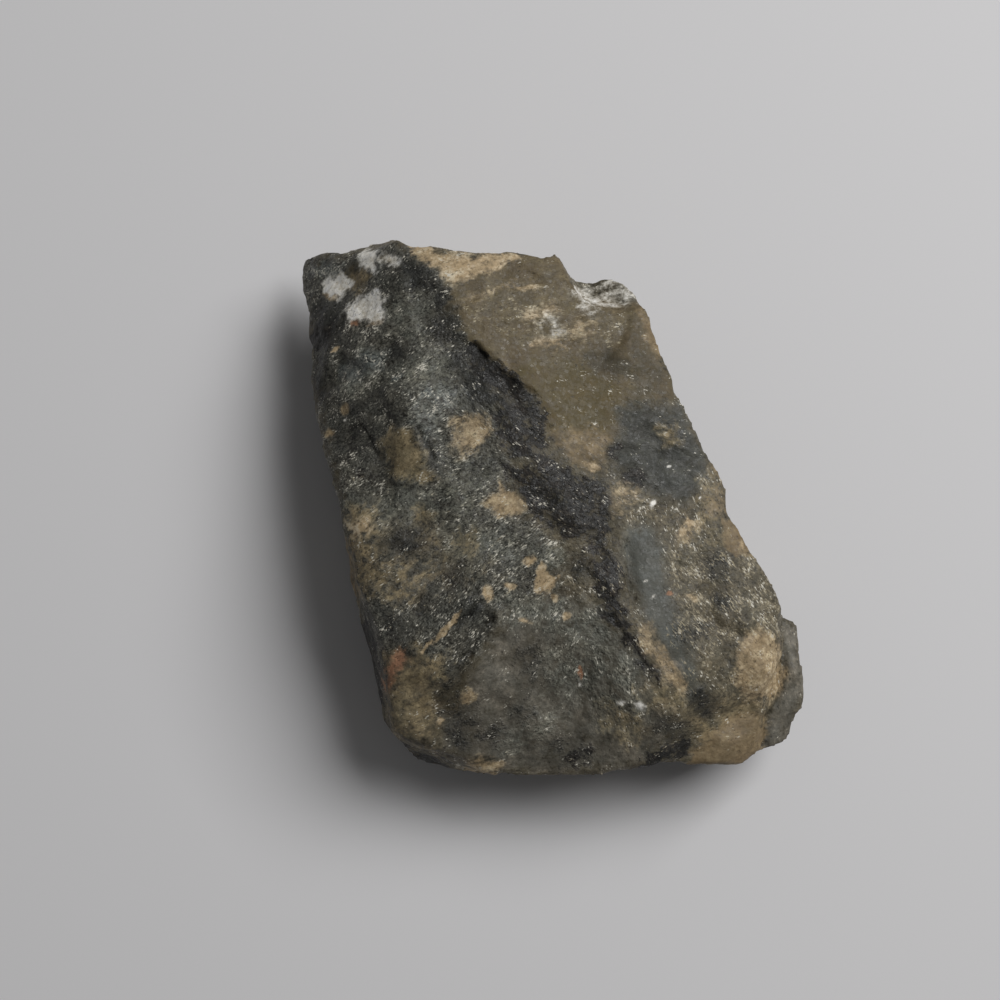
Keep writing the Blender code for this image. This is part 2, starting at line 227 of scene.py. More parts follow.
# Places where the top has worn smoother than elsewhere: middle and reach in mm.
wornPlaces = [
    ((-4.2, -24.6), 4.2), ((-12.0, 22.4), 3.5), ((-10.2, 18.8), 2.4), ((-0.9, 9.2), 2.8),
    ((6.4, -13.4), 3.0), ((9.4, -17.6), 3.0),
]

# Smooth faces of the top, where the small flats are held back: the outline, and how much.
smoothFaces = {
    "brownMiddle": ([(-4.3, 14.9), (-2.4, 16.3), (2.2, 16.1), (7.8, 14.5), (8.0, 10.8), (6.4, 6.1),
        (3.2, 4.1), (0.6, 5.6), (-0.2, 8.5), (-1.2, 11.5)], 0.85),
    "greyPlane": ([(8.0, -5.3), (9.7, -4.5), (11.6, -5.2), (12.2, -11.0), (14.1, -17.7), (10.1, -13.0),
        (8.2, -8.2)], 0.7),
    "amberRim": ([(17.1, 4.7), (19.4, 0.6), (19.5, -1.6), (17.3, -2.1), (16.6, 0.2)], 0.8),
    "amberNub": ([(18.8, -2.5), (20.1, -2.6), (21.8, -5.7), (19.6, -5.6)], 0.7),
    "amberLobe": ([(14.7, -28.5), (17.2, -25.7), (21.0, -23.4), (24.2, -24.9), (21.9, -28.3),
        (17.3, -29.1)], 0.6),
    "greyLobe": ([(25.9, -12.8), (27.2, -13.4), (28.5, -20.5), (27.0, -25.4), (24.0, -27.2),
        (25.5, -21.6)], 0.7),
}


def smoothStep(low, high, value):
    t = np.clip((value - low) / (high - low), 0.0, 1.0)
    return t * t * (3 - 2 * t)


def lineDistance(spots, line):
    best = np.full(len(spots), farAway)
    for a, b in zip(line, line[1:]):
        a, b = np.array(a), np.array(b)
        along = np.clip((spots - a) @ (b - a) / ((b - a) @ (b - a)), 0.0, 1.0)
        away = np.linalg.norm(spots - a - along[:, None] * (b - a), axis=1)
        best = np.minimum(best, away)
    return best


def besideLine(spots, line):
    # distance from a line, positive on the right as one walks it, and how far a spot lies past its ends
    away = np.full(len(spots), farAway)
    side = np.zeros(len(spots))
    past = np.zeros(len(spots))
    for i, (a, b) in enumerate(zip(line, line[1:])):
        a, b = np.array(a), np.array(b)
        length = np.linalg.norm(b - a)
        along = (spots - a) @ (b - a) / length
        near = np.linalg.norm(spots - a - np.clip(along, 0, length)[:, None] * (b - a) / length, axis=1)
        hand = (b - a)[1] * (spots - a)[:, 0] - (b - a)[0] * (spots - a)[:, 1]
        nearer = near < away
        before = -along if i == 0 else np.zeros(len(spots))
        after = along - length if i == len(line) - 2 else np.zeros(len(spots))
        side = np.where(nearer, np.where(hand > 0, near, -near), side)
        past = np.where(nearer, np.maximum(0, np.maximum(before, after)), past)
        away = np.where(nearer, near, away)
    return side, past


def insideDistance(spots, outline):
    # distance from a closed outline, positive inside it
    inside = np.zeros(len(spots), bool)
    for (ax, ay), (bx, by) in zip(outline, outline[1:] + outline[:1]):
        if ay == by:
            continue
        crosses = ((ay > spots[:, 1]) != (by > spots[:, 1]))
        inside ^= crosses & (spots[:, 0] < (bx - ax) * (spots[:, 1] - ay) / (by - ay) + ax)
    away = lineDistance(spots, outline + outline[:1])
    return np.where(inside, away, -away)


def noiseAt(points, size, seed):
    shift = Vector((seed * 31.7, seed * 12.9, seed * 7.3))  # far enough apart for fields of their own
    return np.array([noise.noise(Vector(p) / size + shift) for p in points])


def shaken(points, size, reach, seeds):
    # the places as seen from above, dragged about by noise
    return points[:, :2] + reach * np.stack([noiseAt(points, size, seed) for seed in seeds], axis=1)


def cellFlats(points, lean, step, seed):
    # every cell breaks off as a flat that leans its own way, at its own level
    rng = np.random.default_rng(seed)
    corner = np.floor(points).astype(int)
    start = corner.min(0) - 1
    corner -= start
    counts = tuple(corner.max(0) + 2)
    jitter = rng.random(counts + (3,))
    leans = rng.uniform(-lean, lean, counts + (3,))
    levels = rng.uniform(-step, step, counts)
    best = np.full(len(points), farAway)
    height = np.zeros(len(points))
    for dx in (-1, 0, 1):
        for dy in (-1, 0, 1):
            for dz in (-1, 0, 1):
                i, j, k = (corner + (dx, dy, dz)).T
                away = points - (np.stack((i, j, k), axis=1) + start + jitter[i, j, k])
                distance = (away ** 2).sum(1)
                nearer = distance < best
                rise = (away * leans[i, j, k]).sum(1) + levels[i, j, k]
                best = np.where(nearer, distance, best)
                height = np.where(nearer, rise, height)
    return height


def grainPlaces(points):
    # places measured along the grain, across it and up
    centres = np.array([centre for centre, turn in grainRuns])
    turns = np.radians([turn for centre, turn in grainRuns])
    wander = shaken(points, *stoneShape["runWander"])
    away = np.sqrt(((wander[:, None] - centres[None]) ** 2).sum(2))
    turn = turns[np.argmin(away, axis=1)]
    away.sort(axis=1)
    # the ridges and flats fade where two runs meet
    whole = smoothStep(*stoneShape["runFade"], away[:, 1] - away[:, 0])
    along = points[:, 0] * np.cos(turn) + points[:, 1] * np.sin(turn)
    across = -points[:, 0] * np.sin(turn) + points[:, 1] * np.cos(turn)
    return np.stack((along, across, points[:, 2]), axis=1), turn, whole


def copyOfNode(name):
    # the solid's own mesh stays as it is: a copy is merged and worked on
    deselectAll()
    node = frame["nodes"][name]
    node.select_set(True)
    bpy.context.view_layer.objects.active = node
    bpy.ops.object.duplicate()
    piece = bpy.context.object
    bpy.ops.object.parent_clear(type="CLEAR_KEEP_TRANSFORM")
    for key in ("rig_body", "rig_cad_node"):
        del piece[key]
    bpy.ops.object.mode_set(mode="EDIT")
    bpy.ops.mesh.select_all(action="SELECT")
    bpy.ops.mesh.remove_doubles(threshold=stoneShape["mergeReach"] * mm)
    bpy.ops.object.mode_set(mode="OBJECT")
    piece.data.materials.clear()
    return piece


def readMesh(piece):
    points = np.zeros(len(piece.data.vertices) * 3)
    normals = np.zeros(len(piece.data.vertices) * 3)
    piece.data.vertices.foreach_get("co", points)
    piece.data.vertices.foreach_get("normal", normals)
    return points.reshape(-1, 3) / mm, normals.reshape(-1, 3)


def writePoints(piece, points):
    piece.data.vertices.foreach_set("co", (points * mm).ravel())
    piece.data.update()


def addMask(piece, name, values):
    layer = piece.data.attributes.new(name, "FLOAT", "POINT")
    layer.data.foreach_set("value", values.astype(np.float32))


def addPlaces(piece, name, places):
    layer = piece.data.attributes.new(name, "FLOAT_VECTOR", "POINT")
    layer.data.foreach_set("vector", places.astype(np.float32).ravel())


def evenNet(piece):
    remesh = piece.modifiers.new("evenNet", "REMESH")
    remesh.mode = "VOXEL"
    remesh.voxel_size = stoneShape["voxel"] * mm
    bpy.ops.object.modifier_apply(modifier=remesh.name)
    smooth = piece.modifiers.new("soften", "SMOOTH")
    smooth.factor = stoneShape["smoothingFactor"]
    smooth.iterations = stoneShape["smoothing"]
    bpy.ops.object.modifier_apply(modifier=smooth.name)


def wearDown(piece):
    worn = piece.vertex_groups.new(name="worn")
    points, normals = readMesh(piece)
    for (x, y), reach in wornPlaces:
        away = np.hypot(points[:, 0] - x, points[:, 1] - y) / reach
        for i in np.nonzero((away < 1.0) & (normals[:, 2] > stoneShape["wornFacing"]))[0]:
            worn.add([int(i)], float(1.0 - away[i] ** 2), "REPLACE")
    smooth = piece.modifiers.new("wear", "SMOOTH")
    smooth.vertex_group = worn.name
    smooth.iterations = stoneShape["wearing"]
    bpy.ops.object.modifier_apply(modifier=smooth.name)
    piece.vertex_groups.clear()


def markTop(piece):
    for face in piece.data.polygons:
        face.select = face.normal.z > stoneShape["topFacing"]


def refineTop(piece):
    # the top gets a finer net. It is marked both before and after the mode turns to faces,
    # because with the second time alone the net comes out with slightly fewer points.
    markTop(piece)
    bpy.ops.object.mode_set(mode="EDIT")
    bpy.ops.mesh.select_mode(type="FACE")
    bpy.ops.object.mode_set(mode="OBJECT")
    markTop(piece)
    bpy.ops.object.mode_set(mode="EDIT")
    bpy.ops.mesh.subdivide(number_cuts=1, smoothness=0.0)
    bpy.ops.object.mode_set(mode="OBJECT")


def calmShare(spots, top):
    calm = np.zeros(len(spots))
    for outline, much in smoothFaces.values():
        calm = np.maximum(calm, much * smoothStep(*stoneShape["calmFade"], insideDistance(spots, outline)))
    return calm * top


def swellAt(points, size, height, seed):
    return height * noiseAt(points, size, seed)


def flatsAndRidges(points, grain, whole):
    # the relief of the top and that of the sides
    top = np.zeros(len(points))
    sides = swellAt(points, *stoneShape["sideSwell"])
    for length, width, height, seed in stoneShape["ridges"]:
        top += height * noiseAt(grain / (length, width, width), 1.0, seed)
    for length, width, lean, step, seed in stoneShape["topFlats"]:
        top += cellFlats(grain / (length, width, width), lean * width, step, seed)
    top = top * whole + swellAt(points, *stoneShape["topSwell"])
    for length, width, lean, step, seed in stoneShape["sideFlats"]:
        sides += cellFlats(points / (length, length, width), lean * length, step, seed)
    return top, sides


def cutLines(relief, points, top):
    # takes the grooves and the low sides of the steps out of the relief
    wavy = shaken(points, *stoneShape["lineWaver"])
    groove = np.zeros(len(points))
    for line, width, depth in grooves.values():
        groove = np.maximum(groove, depth * np.exp(-(lineDistance(wavy, line) / width) ** 2))
    for line, drop, fade in steps.values():
        side, past = besideLine(wavy, line)
        low = smoothStep(*stoneShape["stepEdge"], side)
        farSide = 1 - smoothStep(stoneShape["stepFadeStart"], fade, side)
        relief -= drop * (low * farSide * (1 - smoothStep(*stoneShape["stepEnds"], past))) * top
    relief -= groove * top
    return relief


def shapeStone():
    piece = copyOfNode(stoneShape["node"])
    piece.name = "labradorite_stone"
    evenNet(piece)
    wearDown(piece)
    refineTop(piece)

    points, normals = readMesh(piece)
    grain, turn, whole = grainPlaces(points)
    top = smoothStep(*stoneShape["topBlend"], normals[:, 2])
    calm = calmShare(points[:, :2], top)
    topRelief, sideRelief = flatsAndRidges(points, grain, whole)
    relief = top * (1 - calm) * topRelief + (1 - top) * sideRelief
    relief = cutLines(relief, points, top)
    relief *= smoothStep(*stoneShape["footFade"], points[:, 2])
    points = points + normals * relief[:, None]
    low, high = np.array(cadBox[0]) / mm, np.array(cadBox[1]) / mm
    points = np.clip(points, low, high)
    writePoints(piece, points)
    for face in piece.data.polygons:
        face.use_smooth = True
    # the relief kept as a mask: in the colour it becomes painted shade in the hollows and painted light on
    # the rises
    addMask(piece, "depth", 0.5 + relief * stoneShape["depthScale"])
    addMask(piece, "whole", whole)
    addPlaces(piece, "grain", grain)
    triangles = sum(len(f.vertices) - 2 for f in piece.data.polygons)
    print("stone shaped:", len(piece.data.vertices), "points", triangles, "triangles")
    return piece, points, normals, grain, turn


# Where each mineral shows on the top: how strongly, how soft its edge is in mm, and its outline.
patches = {
    "leftGrey": [
        (1.0, 1.6, [(-28.4, 28.5), (-23.1, 28.7), (-16.7, 28.6), (-13.4, 26.7), (-11.3, 22.5), (-9.4, 17.3),
            (-8.0, 13.9), (-5.8, 10.6), (-5.1, 3.9), (-4.0, -0.5), (-0.7, -4.8), (0.9, -10.2), (-4.5, -12.1),
            (-7.8, -16.6), (-12.2, -23.0), (-16.7, -26.1), (-18.5, -21.7), (-20.4, -15.0), (-22.7, -7.9),
            (-23.8, 2.3), (-25.9, 9.3), (-26.7, 16.7), (-27.9, 24.7)]),
    ],
    "olive": [
        (0.55, 1.8, [(-23.0, -1.0), (-18.7, -0.6), (-14.3, -1.2), (-10.5, -2.8), (-7.8, -4.8), (-6.9, -7.2),
            (-8.9, -9.7), (-12.1, -10.7), (-16.5, -11.3), (-21.2, -10.4), (-22.7, -5.9)]),
        (0.9, 1.2, [(-18.3, -16.9), (-16.5, -16.1), (-13.2, -17.1), (-11.6, -19.8), (-10.9, -23.0),
            (-12.2, -26.0), (-14.9, -26.8), (-17.5, -25.8), (-18.5, -21.7)]),
        (0.8, 0.8, [(11.6, 8.0), (13.0, 8.5), (14.3, 7.2), (13.8, 5.6), (12.2, 5.3), (11.6, 6.6)]),
        (0.75, 1.0, [(5.7, -23.3), (7.6, -22.5), (10.7, -23.3), (10.9, -25.2), (8.5, -26.1), (6.1, -25.4)]),
        (0.7, 1.0, [(6.1, -19.4), (8.7, -19.2), (10.1, -20.9), (8.2, -22.0), (6.4, -21.6)]),
    ],
    "facetGrey": [
        (1.0, 0.5, [(25.9, -12.8), (27.2, -13.4), (28.1, -16.1), (28.5, -20.5), (27.2, -23.2), (27.0, -25.4),
            (25.6, -26.5), (24.0, -27.2), (23.8, -25.6), (24.4, -23.2), (25.5, -21.6), (25.9, -19.4),
            (26.1, -16.1)]),
        (0.9, 1.2, [(0.0, -10.4), (4.1, -11.3), (6.5, -14.0), (9.6, -17.8), (12.0, -22.0), (12.9, -25.8),
            (9.7, -29.0), (1.0, -29.9), (-7.8, -29.4), (-12.2, -26.8), (-12.4, -23.5), (-10.0, -20.9),
            (-6.7, -15.5), (-4.5, -12.1)]),
    ],
    "brown": [
        (1.0, 0.35, [(-11.3, 22.5), (-10.4, 20.4), (-9.8, 17.8), (-8.5, 16.6), (-6.7, 15.1), (-4.5, 13.4),
            (-2.5, 11.9), (-1.1, 10.4), (-0.6, 7.9), (-0.3, 6.1), (1.0, 4.7), (2.7, 3.1), (4.5, 2.2),
            (5.4, 2.8), (6.1, 4.6), (6.5, 6.1), (7.2, 7.4), (7.4, 9.2), (8.3, 10.8), (10.4, 11.1),
            (13.9, 11.5), (12.6, 15.7), (11.5, 19.8), (10.7, 22.5), (5.6, 23.0), (2.2, 24.8), (0.9, 27.5),
            (-3.4, 27.3), (-5.6, 26.2), (-8.9, 23.9)]),
        (0.9, 0.6, [(20.5, -21.9), (22.1, -21.7), (22.8, -22.6), (21.8, -23.2), (20.8, -22.7)]),
    ],
    "khaki": [
        (0.95, 1.2, [(-1.2, 14.2), (2.1, 15.6), (5.4, 14.1), (7.4, 12.2), (8.1, 10.8), (7.2, 9.2),
            (6.7, 7.3), (4.2, 6.3), (0.9, 6.4), (-0.4, 8.4), (-1.0, 10.8), (-1.7, 12.3)]),
        (0.8, 1.0, [(-4.3, 14.2), (-2.5, 16.0), (-0.7, 15.6), (-1.2, 13.8), (-2.1, 12.0), (-3.4, 12.9)]),
    ],
    "umber": [
        (1.0, 0.9, [(3.9, 16.1), (5.4, 16.9), (7.4, 16.6), (9.2, 15.3), (8.6, 13.6), (5.9, 13.7),
            (4.3, 14.8)]),
        (0.55, 1.0, [(7.7, 19.9), (10.2, 20.1), (11.6, 16.8), (13.5, 13.0), (13.9, 11.5), (10.4, 10.9),
            (8.5, 11.3), (9.0, 14.3), (7.9, 16.6)]),
        (0.9, 0.6, [(-23.0, 27.3), (-21.5, 27.1), (-20.3, 26.4), (-20.1, 25.5), (-21.3, 25.0),
            (-22.7, 25.8)]),
        (0.85, 0.8, [(-12.8, -22.1), (-11.7, -20.9), (-10.4, -19.8), (-9.3, -18.1), (-8.9, -20.2),
            (-9.8, -22.1), (-9.1, -24.3), (-11.1, -23.6)]),
    ],
    "blueGrey": [
        (1.0, 1.3, [(7.4, 9.9), (8.5, 10.9), (10.4, 10.6), (12.7, 10.1), (14.4, 10.8), (15.6, 8.9),
            (16.5, 6.6), (17.1, 4.9), (16.7, 2.5), (16.4, 0.9), (14.8, -0.1), (12.8, -0.1), (10.8, 0.7),
            (9.7, 1.3), (8.4, 1.7), (7.1, 3.0), (6.3, 4.6), (6.3, 6.2), (7.4, 7.1), (7.6, 8.7)]),
    ],
    "planeGrey": [
        (1.0, 1.2, [(8.3, -3.3), (10.7, -3.1), (12.0, -5.0), (12.2, -8.8), (13.1, -11.0), (13.5, -13.8),
            (15.1, -16.5), (16.2, -21.0), (15.1, -22.0), (12.9, -18.8), (11.2, -15.5), (9.6, -12.2),
            (8.5, -8.8), (7.9, -6.1)]),
    ],
    "sage": [
        (0.7, 1.6, [(-18.3, 22.0), (-14.4, 22.2), (-13.1, 20.5), (-13.8, 18.3), (-14.9, 16.6), (-17.2, 16.8),
            (-18.3, 19.1)]),
        (0.8, 1.4, [(-17.5, 14.9), (-14.4, 15.4), (-11.1, 16.1), (-10.2, 13.3), (-10.5, 11.4), (-13.3, 10.9),
            (-15.4, 12.0), (-17.1, 13.0)]),
        (0.8, 1.2, [(-24.0, 16.7), (-21.1, 17.1), (-17.9, 16.0), (-18.3, 13.8), (-19.7, 11.7), (-22.0, 11.0),
            (-23.6, 13.0), (-24.6, 14.7)]),
        (0.5, 1.4, [(-15.4, 9.8), (-12.7, 10.4), (-9.5, 10.7), (-8.7, 9.4), (-11.1, 8.8), (-12.2, 6.6),
            (-11.5, 4.4), (-13.0, 5.5), (-14.3, 7.6)]),
        (0.7, 1.2, [(-13.0, 1.7), (-8.9, 3.6), (-5.6, 2.7), (-5.1, 1.7), (-7.3, 0.5), (-7.6, -2.2),
            (-10.0, -2.7), (-12.4, -1.1)]),
        (0.8, 1.6, [(-23.5, 0.9), (-19.6, 1.4), (-14.3, 1.7), (-12.1, -0.5), (-12.1, -3.2), (-16.5, -3.2),
            (-19.2, -2.6), (-22.1, -1.5)]),
        (0.7, 1.2, [(-12.1, -2.7), (-9.4, -2.2), (-6.7, -3.8), (-4.0, -5.4), (-1.3, -5.9), (0.9, -4.8),
            (2.0, -7.0), (-0.7, -8.6), (-3.5, -7.0), (-6.7, -7.0), (-9.4, -8.1), (-11.6, -5.9)]),
        (0.7, 1.4, [(-5.6, -11.3), (-2.4, -10.2), (0.9, -11.3), (5.2, -12.4), (7.9, -15.6), (10.6, -18.9),
            (9.5, -22.1), (6.3, -20.9), (4.1, -18.8), (0.9, -15.6), (-2.4, -13.5), (-5.1, -14.0)]),
        (0.6, 1.4, [(-1.3, -16.6), (2.5, -15.6), (5.2, -18.8), (5.2, -22.0), (2.0, -21.9), (-0.4, -20.9)]),
        (0.6, 1.2, [(-3.4, -24.6), (0.4, -22.8), (1.5, -24.1), (-0.7, -26.5), (-4.0, -27.1), (-5.6, -27.5)]),
        (0.7, 1.2, [(5.2, -20.9), (9.5, -21.0), (10.7, -23.6), (9.6, -25.7), (5.8, -25.2), (4.4, -23.1)]),
    ],
    "sand": [
        (0.8, 0.9, [(12.0, 8.2), (14.2, 8.4), (14.3, 6.2), (12.4, 5.6)]),
        (1.15, 1.2, [(-18.3, 6.3), (-17.4, 7.3), (-15.6, 6.9), (-14.5, 5.5), (-13.8, 3.8), (-13.0, 1.9),
            (-14.3, 1.5), (-16.0, 2.0), (-17.4, 3.0), (-18.1, 4.7)]),
        (0.68, 1.4, [(-22.1, -0.7), (-19.6, -0.3), (-18.7, -2.0), (-19.2, -4.2), (-20.0, -6.9),
            (-21.5, -6.8), (-22.4, -4.5), (-22.6, -1.8)]),
        (0.58, 1.8, [(-22.0, -6.3), (-18.1, -7.0), (-15.4, -8.6), (-14.9, -11.3), (-17.0, -11.8),
            (-19.8, -10.2), (-21.4, -8.9)]),
        (0.6, 1.9, [(-16.7, -17.2), (-13.2, -16.7), (-10.5, -18.3), (-10.8, -19.9), (-12.7, -20.9),
            (-14.3, -22.0), (-12.7, -23.6), (-11.3, -25.7), (-12.7, -27.1), (-15.5, -26.5), (-17.1, -24.6),
            (-18.5, -21.8), (-17.4, -19.8)]),
        (0.9, 0.5, [(-15.4, -22.0), (-14.1, -21.6), (-13.2, -21.4), (-13.5, -22.6), (-13.9, -24.1),
            (-14.6, -23.7), (-15.6, -22.6)]),
        (0.7, 0.9, [(-10.5, -3.8), (-8.3, -3.8), (-8.0, -5.7), (-8.9, -7.0), (-10.2, -6.1)]),
        (0.7, 0.9, [(-14.9, -1.0), (-13.8, -0.4), (-13.0, -2.7), (-13.8, -3.7), (-14.8, -2.8)]),
        (0.7, 1.4, [(9.5, -21.0), (12.2, -19.9), (15.0, -22.0), (17.6, -23.5), (18.5, -26.7), (16.4, -27.3),
            (15.2, -25.7), (13.0, -23.6), (10.7, -23.3)]),
        (0.6, 1.2, [(16.4, 2.3), (18.1, 2.6), (19.4, 0.1), (18.8, -4.4), (17.2, -5.0), (16.3, -2.3)]),
        (0.6, 1.4, [(5.3, -22.5), (9.6, -23.6), (11.8, -25.7), (9.6, -26.8), (6.4, -26.3), (5.1, -24.3)]),
        (0.75, 1.2, [(17.8, -21.9), (20.1, -21.4), (23.1, -22.3), (23.3, -23.9), (20.8, -25.6),
            (18.8, -25.7), (17.6, -23.8)]),
        (0.9, 0.7, [(-22.8, 26.1), (-20.8, 26.1), (-20.1, 25.0), (-20.8, 23.6), (-21.9, 22.8), (-22.1, 24.2),
            (-22.7, 25.0)]),
    ],
    "slate": [
        (0.9, 1.2, [(-16.9, 26.2), (-13.9, 26.0), (-12.2, 23.8), (-10.9, 21.5), (-10.2, 18.8), (-9.8, 16.6),
            (-8.7, 14.9), (-9.1, 12.2), (-8.0, 10.5), (-9.8, 10.7), (-10.5, 13.2), (-11.1, 16.6),
            (-13.1, 17.4), (-13.9, 19.4), (-12.7, 20.3), (-13.3, 22.1), (-15.3, 22.9), (-16.6, 24.2)]),
        (0.9, 1.0, [(-9.8, 14.4), (-7.8, 13.6), (-5.1, 11.1), (-1.8, 10.6), (-2.3, 9.3), (-5.1, 9.6),
            (-7.8, 9.6), (-9.5, 10.5), (-10.2, 12.7)]),
        (0.85, 1.0, [(-27.0, 23.7), (-23.6, 22.7), (-22.9, 20.3), (-23.5, 18.7), (-22.3, 17.3),
            (-24.6, 17.6), (-26.1, 17.5), (-26.8, 20.0)]),
        (0.8, 0.9, [(-26.0, 14.9), (-24.6, 13.2), (-24.3, 11.4), (-25.8, 11.4), (-26.5, 13.5)]),
        (0.35, 1.0, [(-25.5, 9.5), (-22.8, 9.5), (-21.1, 8.2), (-19.0, 6.8), (-17.9, 4.6), (-18.3, 1.9),
            (-19.7, 3.1), (-21.0, 4.8), (-22.7, 4.4), (-24.2, 5.7), (-25.0, 7.5)]),
        (0.75, 0.6, [(-20.8, 11.1), (-19.0, 11.8), (-18.4, 12.5), (-18.6, 11.4), (-19.9, 10.6), (-21.1, 9.6),
            (-22.0, 9.3), (-22.8, 9.8)]),
        (0.8, 0.7, [(-17.9, 16.8), (-16.4, 17.3), (-15.5, 16.1), (-16.0, 15.0), (-17.1, 14.5),
            (-18.2, 15.2)]),
        (0.75, 0.7, [(-14.3, 6.0), (-13.5, 6.9), (-12.6, 5.0), (-11.6, 2.7), (-12.1, 1.6), (-13.2, 3.3)]),
        (0.35, 0.8, [(-20.8, 3.1), (-18.8, 4.0), (-18.1, 1.3), (-17.4, -0.4), (-18.7, -0.3), (-20.3, 1.1)]),
        (0.7, 0.8, [(-14.5, -11.0), (-13.0, -10.8), (-12.8, -12.6), (-13.4, -13.7), (-14.3, -13.0)]),
        (0.7, 0.8, [(-18.7, -4.8), (-16.5, -3.2), (-14.3, -3.2), (-13.8, -5.4), (-15.4, -7.0),
            (-17.6, -6.4)]),
        (0.6, 0.8, [(-11.7, -7.6), (-9.8, -7.0), (-8.9, -9.0), (-10.2, -10.9), (-11.6, -10.2)]),
        (0.75, 0.8, [(-18.7, -11.8), (-16.5, -12.6), (-15.2, -14.0), (-15.6, -16.1), (-17.0, -16.6),
            (-18.1, -15.0)]),
        (0.85, 0.6, [(-10.5, -14.1), (-9.4, -12.5), (-8.0, -12.0), (-7.4, -11.2), (-7.8, -12.7),
            (-9.1, -13.8), (-10.2, -14.8)]),
        (0.55, 1.2, [(-12.6, -20.9), (-11.1, -20.4), (-9.4, -19.0), (-9.8, -20.9), (-10.5, -22.5),
            (-12.2, -23.3), (-12.8, -22.4)]),
        (0.55, 1.2, [(-12.2, -23.3), (-8.9, -22.0), (-7.6, -24.1), (-8.0, -26.8), (-10.6, -27.5),
            (-12.2, -25.7)]),
        (0.5, 1.2, [(-7.4, -25.0), (-5.6, -24.1), (-5.1, -26.0), (-6.2, -27.1), (-7.6, -26.7)]),
        (0.4, 1.0, [(-1.3, -25.7), (0.9, -25.0), (2.6, -26.2), (3.1, -28.2), (1.0, -29.3), (-0.7, -27.9)]),
        (0.45, 1.0, [(-4.0, -15.6), (-1.3, -15.6), (-0.7, -18.2), (-1.8, -20.9), (-3.7, -19.8),
            (-4.5, -17.7)]),
        (0.4, 0.8, [(-4.8, -22.2), (-2.6, -22.0), (-1.3, -23.6), (-2.6, -25.0), (-4.3, -24.3)]),
        (0.7, 0.8, [(16.3, -6.2), (18.7, -5.8), (19.6, -8.3), (18.7, -10.0), (16.8, -8.9)]),
        (0.7, 0.6, [(17.6, -10.0), (19.3, -10.5), (19.7, -12.0), (18.4, -12.5), (16.9, -11.3)]),
        (0.7, 0.7, [(14.8, -21.0), (16.8, -20.7), (18.0, -22.6), (17.7, -24.2), (15.3, -23.7)]),
        (0.45, 0.9, [(11.2, -22.6), (15.1, -23.6), (16.1, -25.7), (14.1, -27.3), (11.3, -27.3), (9.6, -26.1),
            (10.4, -24.0)]),
        (0.6, 0.8, [(13.7, -14.0), (17.5, -13.5), (17.9, -15.5), (15.0, -16.4), (13.5, -15.6)]),
        (0.6, 0.8, [(2.0, -7.0), (4.2, -5.3), (5.2, -7.0), (4.1, -9.2), (2.5, -9.2)]),
    ],
    "silver": [
        (0.6, 1.2, [(-15.2, 9.3), (-14.6, 10.7), (-12.8, 11.9), (-10.9, 12.9), (-9.8, 11.4), (-10.0, 9.2),
            (-11.9, 7.9), (-13.2, 6.1), (-14.3, 7.4), (-15.1, 8.2)]),
        (1.25, 0.9, [(-23.4, 15.0), (-22.0, 15.8), (-19.7, 16.2), (-18.0, 16.0), (-18.8, 14.5),
            (-20.8, 13.6), (-22.7, 13.4)]),
        (1.0, 0.8, [(-27.2, 27.7), (-25.9, 27.9), (-23.4, 27.4), (-23.6, 26.2), (-25.4, 25.9),
            (-26.7, 26.4)]),
    ],
    "blackAndShade": [
        (1.0, 0.35, [(-9.1, 17.0), (-7.8, 16.3), (-6.3, 15.0), (-4.5, 13.4), (-2.5, 12.0), (-1.2, 10.9),
            (-2.3, 10.2), (-4.3, 10.6), (-6.3, 11.5), (-7.8, 12.6), (-8.7, 14.3), (-9.3, 15.9)]),
        (0.85, 0.9, [(-5.6, 10.1), (-2.3, 10.5), (-0.7, 9.4), (-0.4, 6.6), (-0.5, 5.0), (-2.3, 3.5),
            (-4.1, 3.7), (-5.4, 5.3), (-6.1, 7.2), (-6.3, 9.0)]),
        (1.0, 0.5, [(-3.4, 8.0), (-2.1, 8.8), (-0.7, 8.5), (-0.5, 6.5), (-1.7, 5.6), (-2.8, 5.3),
            (-3.8, 6.2)]),
        (0.85, 0.9, [(-5.0, 2.8), (-2.3, 3.8), (0.1, 4.5), (2.6, 2.6), (4.9, 2.0), (6.0, 1.8), (6.6, 0.1),
            (6.7, -2.2), (5.9, -5.0), (5.2, -6.9), (4.2, -5.6), (2.2, -4.6), (0.5, -3.7), (-1.5, -2.6),
            (-3.0, -1.1), (-3.9, 0.4)]),
        (0.8, 0.8, [(4.2, -5.3), (5.7, -4.2), (6.8, -5.8), (7.6, -8.6), (7.6, -11.3), (8.5, -13.4),
            (9.5, -15.6), (10.6, -17.2), (11.9, -19.7), (11.2, -20.3), (9.8, -18.6), (8.5, -16.9),
            (7.2, -15.0), (5.9, -13.3), (5.0, -10.9), (4.4, -8.1)]),
        (0.5, 0.9, [(-22.8, 7.6), (-21.0, 8.0), (-19.7, 6.4), (-18.8, 4.4), (-18.6, 2.1), (-20.1, 2.0),
            (-21.3, 3.4), (-22.3, 5.5)]),
        (0.9, 0.6, [(-27.6, 19.4), (-26.2, 21.0), (-24.4, 19.7), (-24.7, 17.5), (-26.1, 17.5),
            (-27.6, 17.6)]),
        (1.0, 0.5, [(9.5, -30.0), (10.0, -28.1), (12.1, -27.2), (14.3, -26.0), (15.5, -26.6), (14.8, -27.8),
            (12.7, -28.5), (11.4, -29.4)]),
        (0.9, 0.5, [(6.2, 5.9), (6.9, 6.5), (7.8, 5.8), (7.3, 4.6), (6.4, 4.6)]),
        (0.8, 0.8, [(7.8, 3.6), (8.9, 4.0), (10.2, 3.3), (10.0, 1.6), (8.6, 1.6), (7.7, 2.4)]),
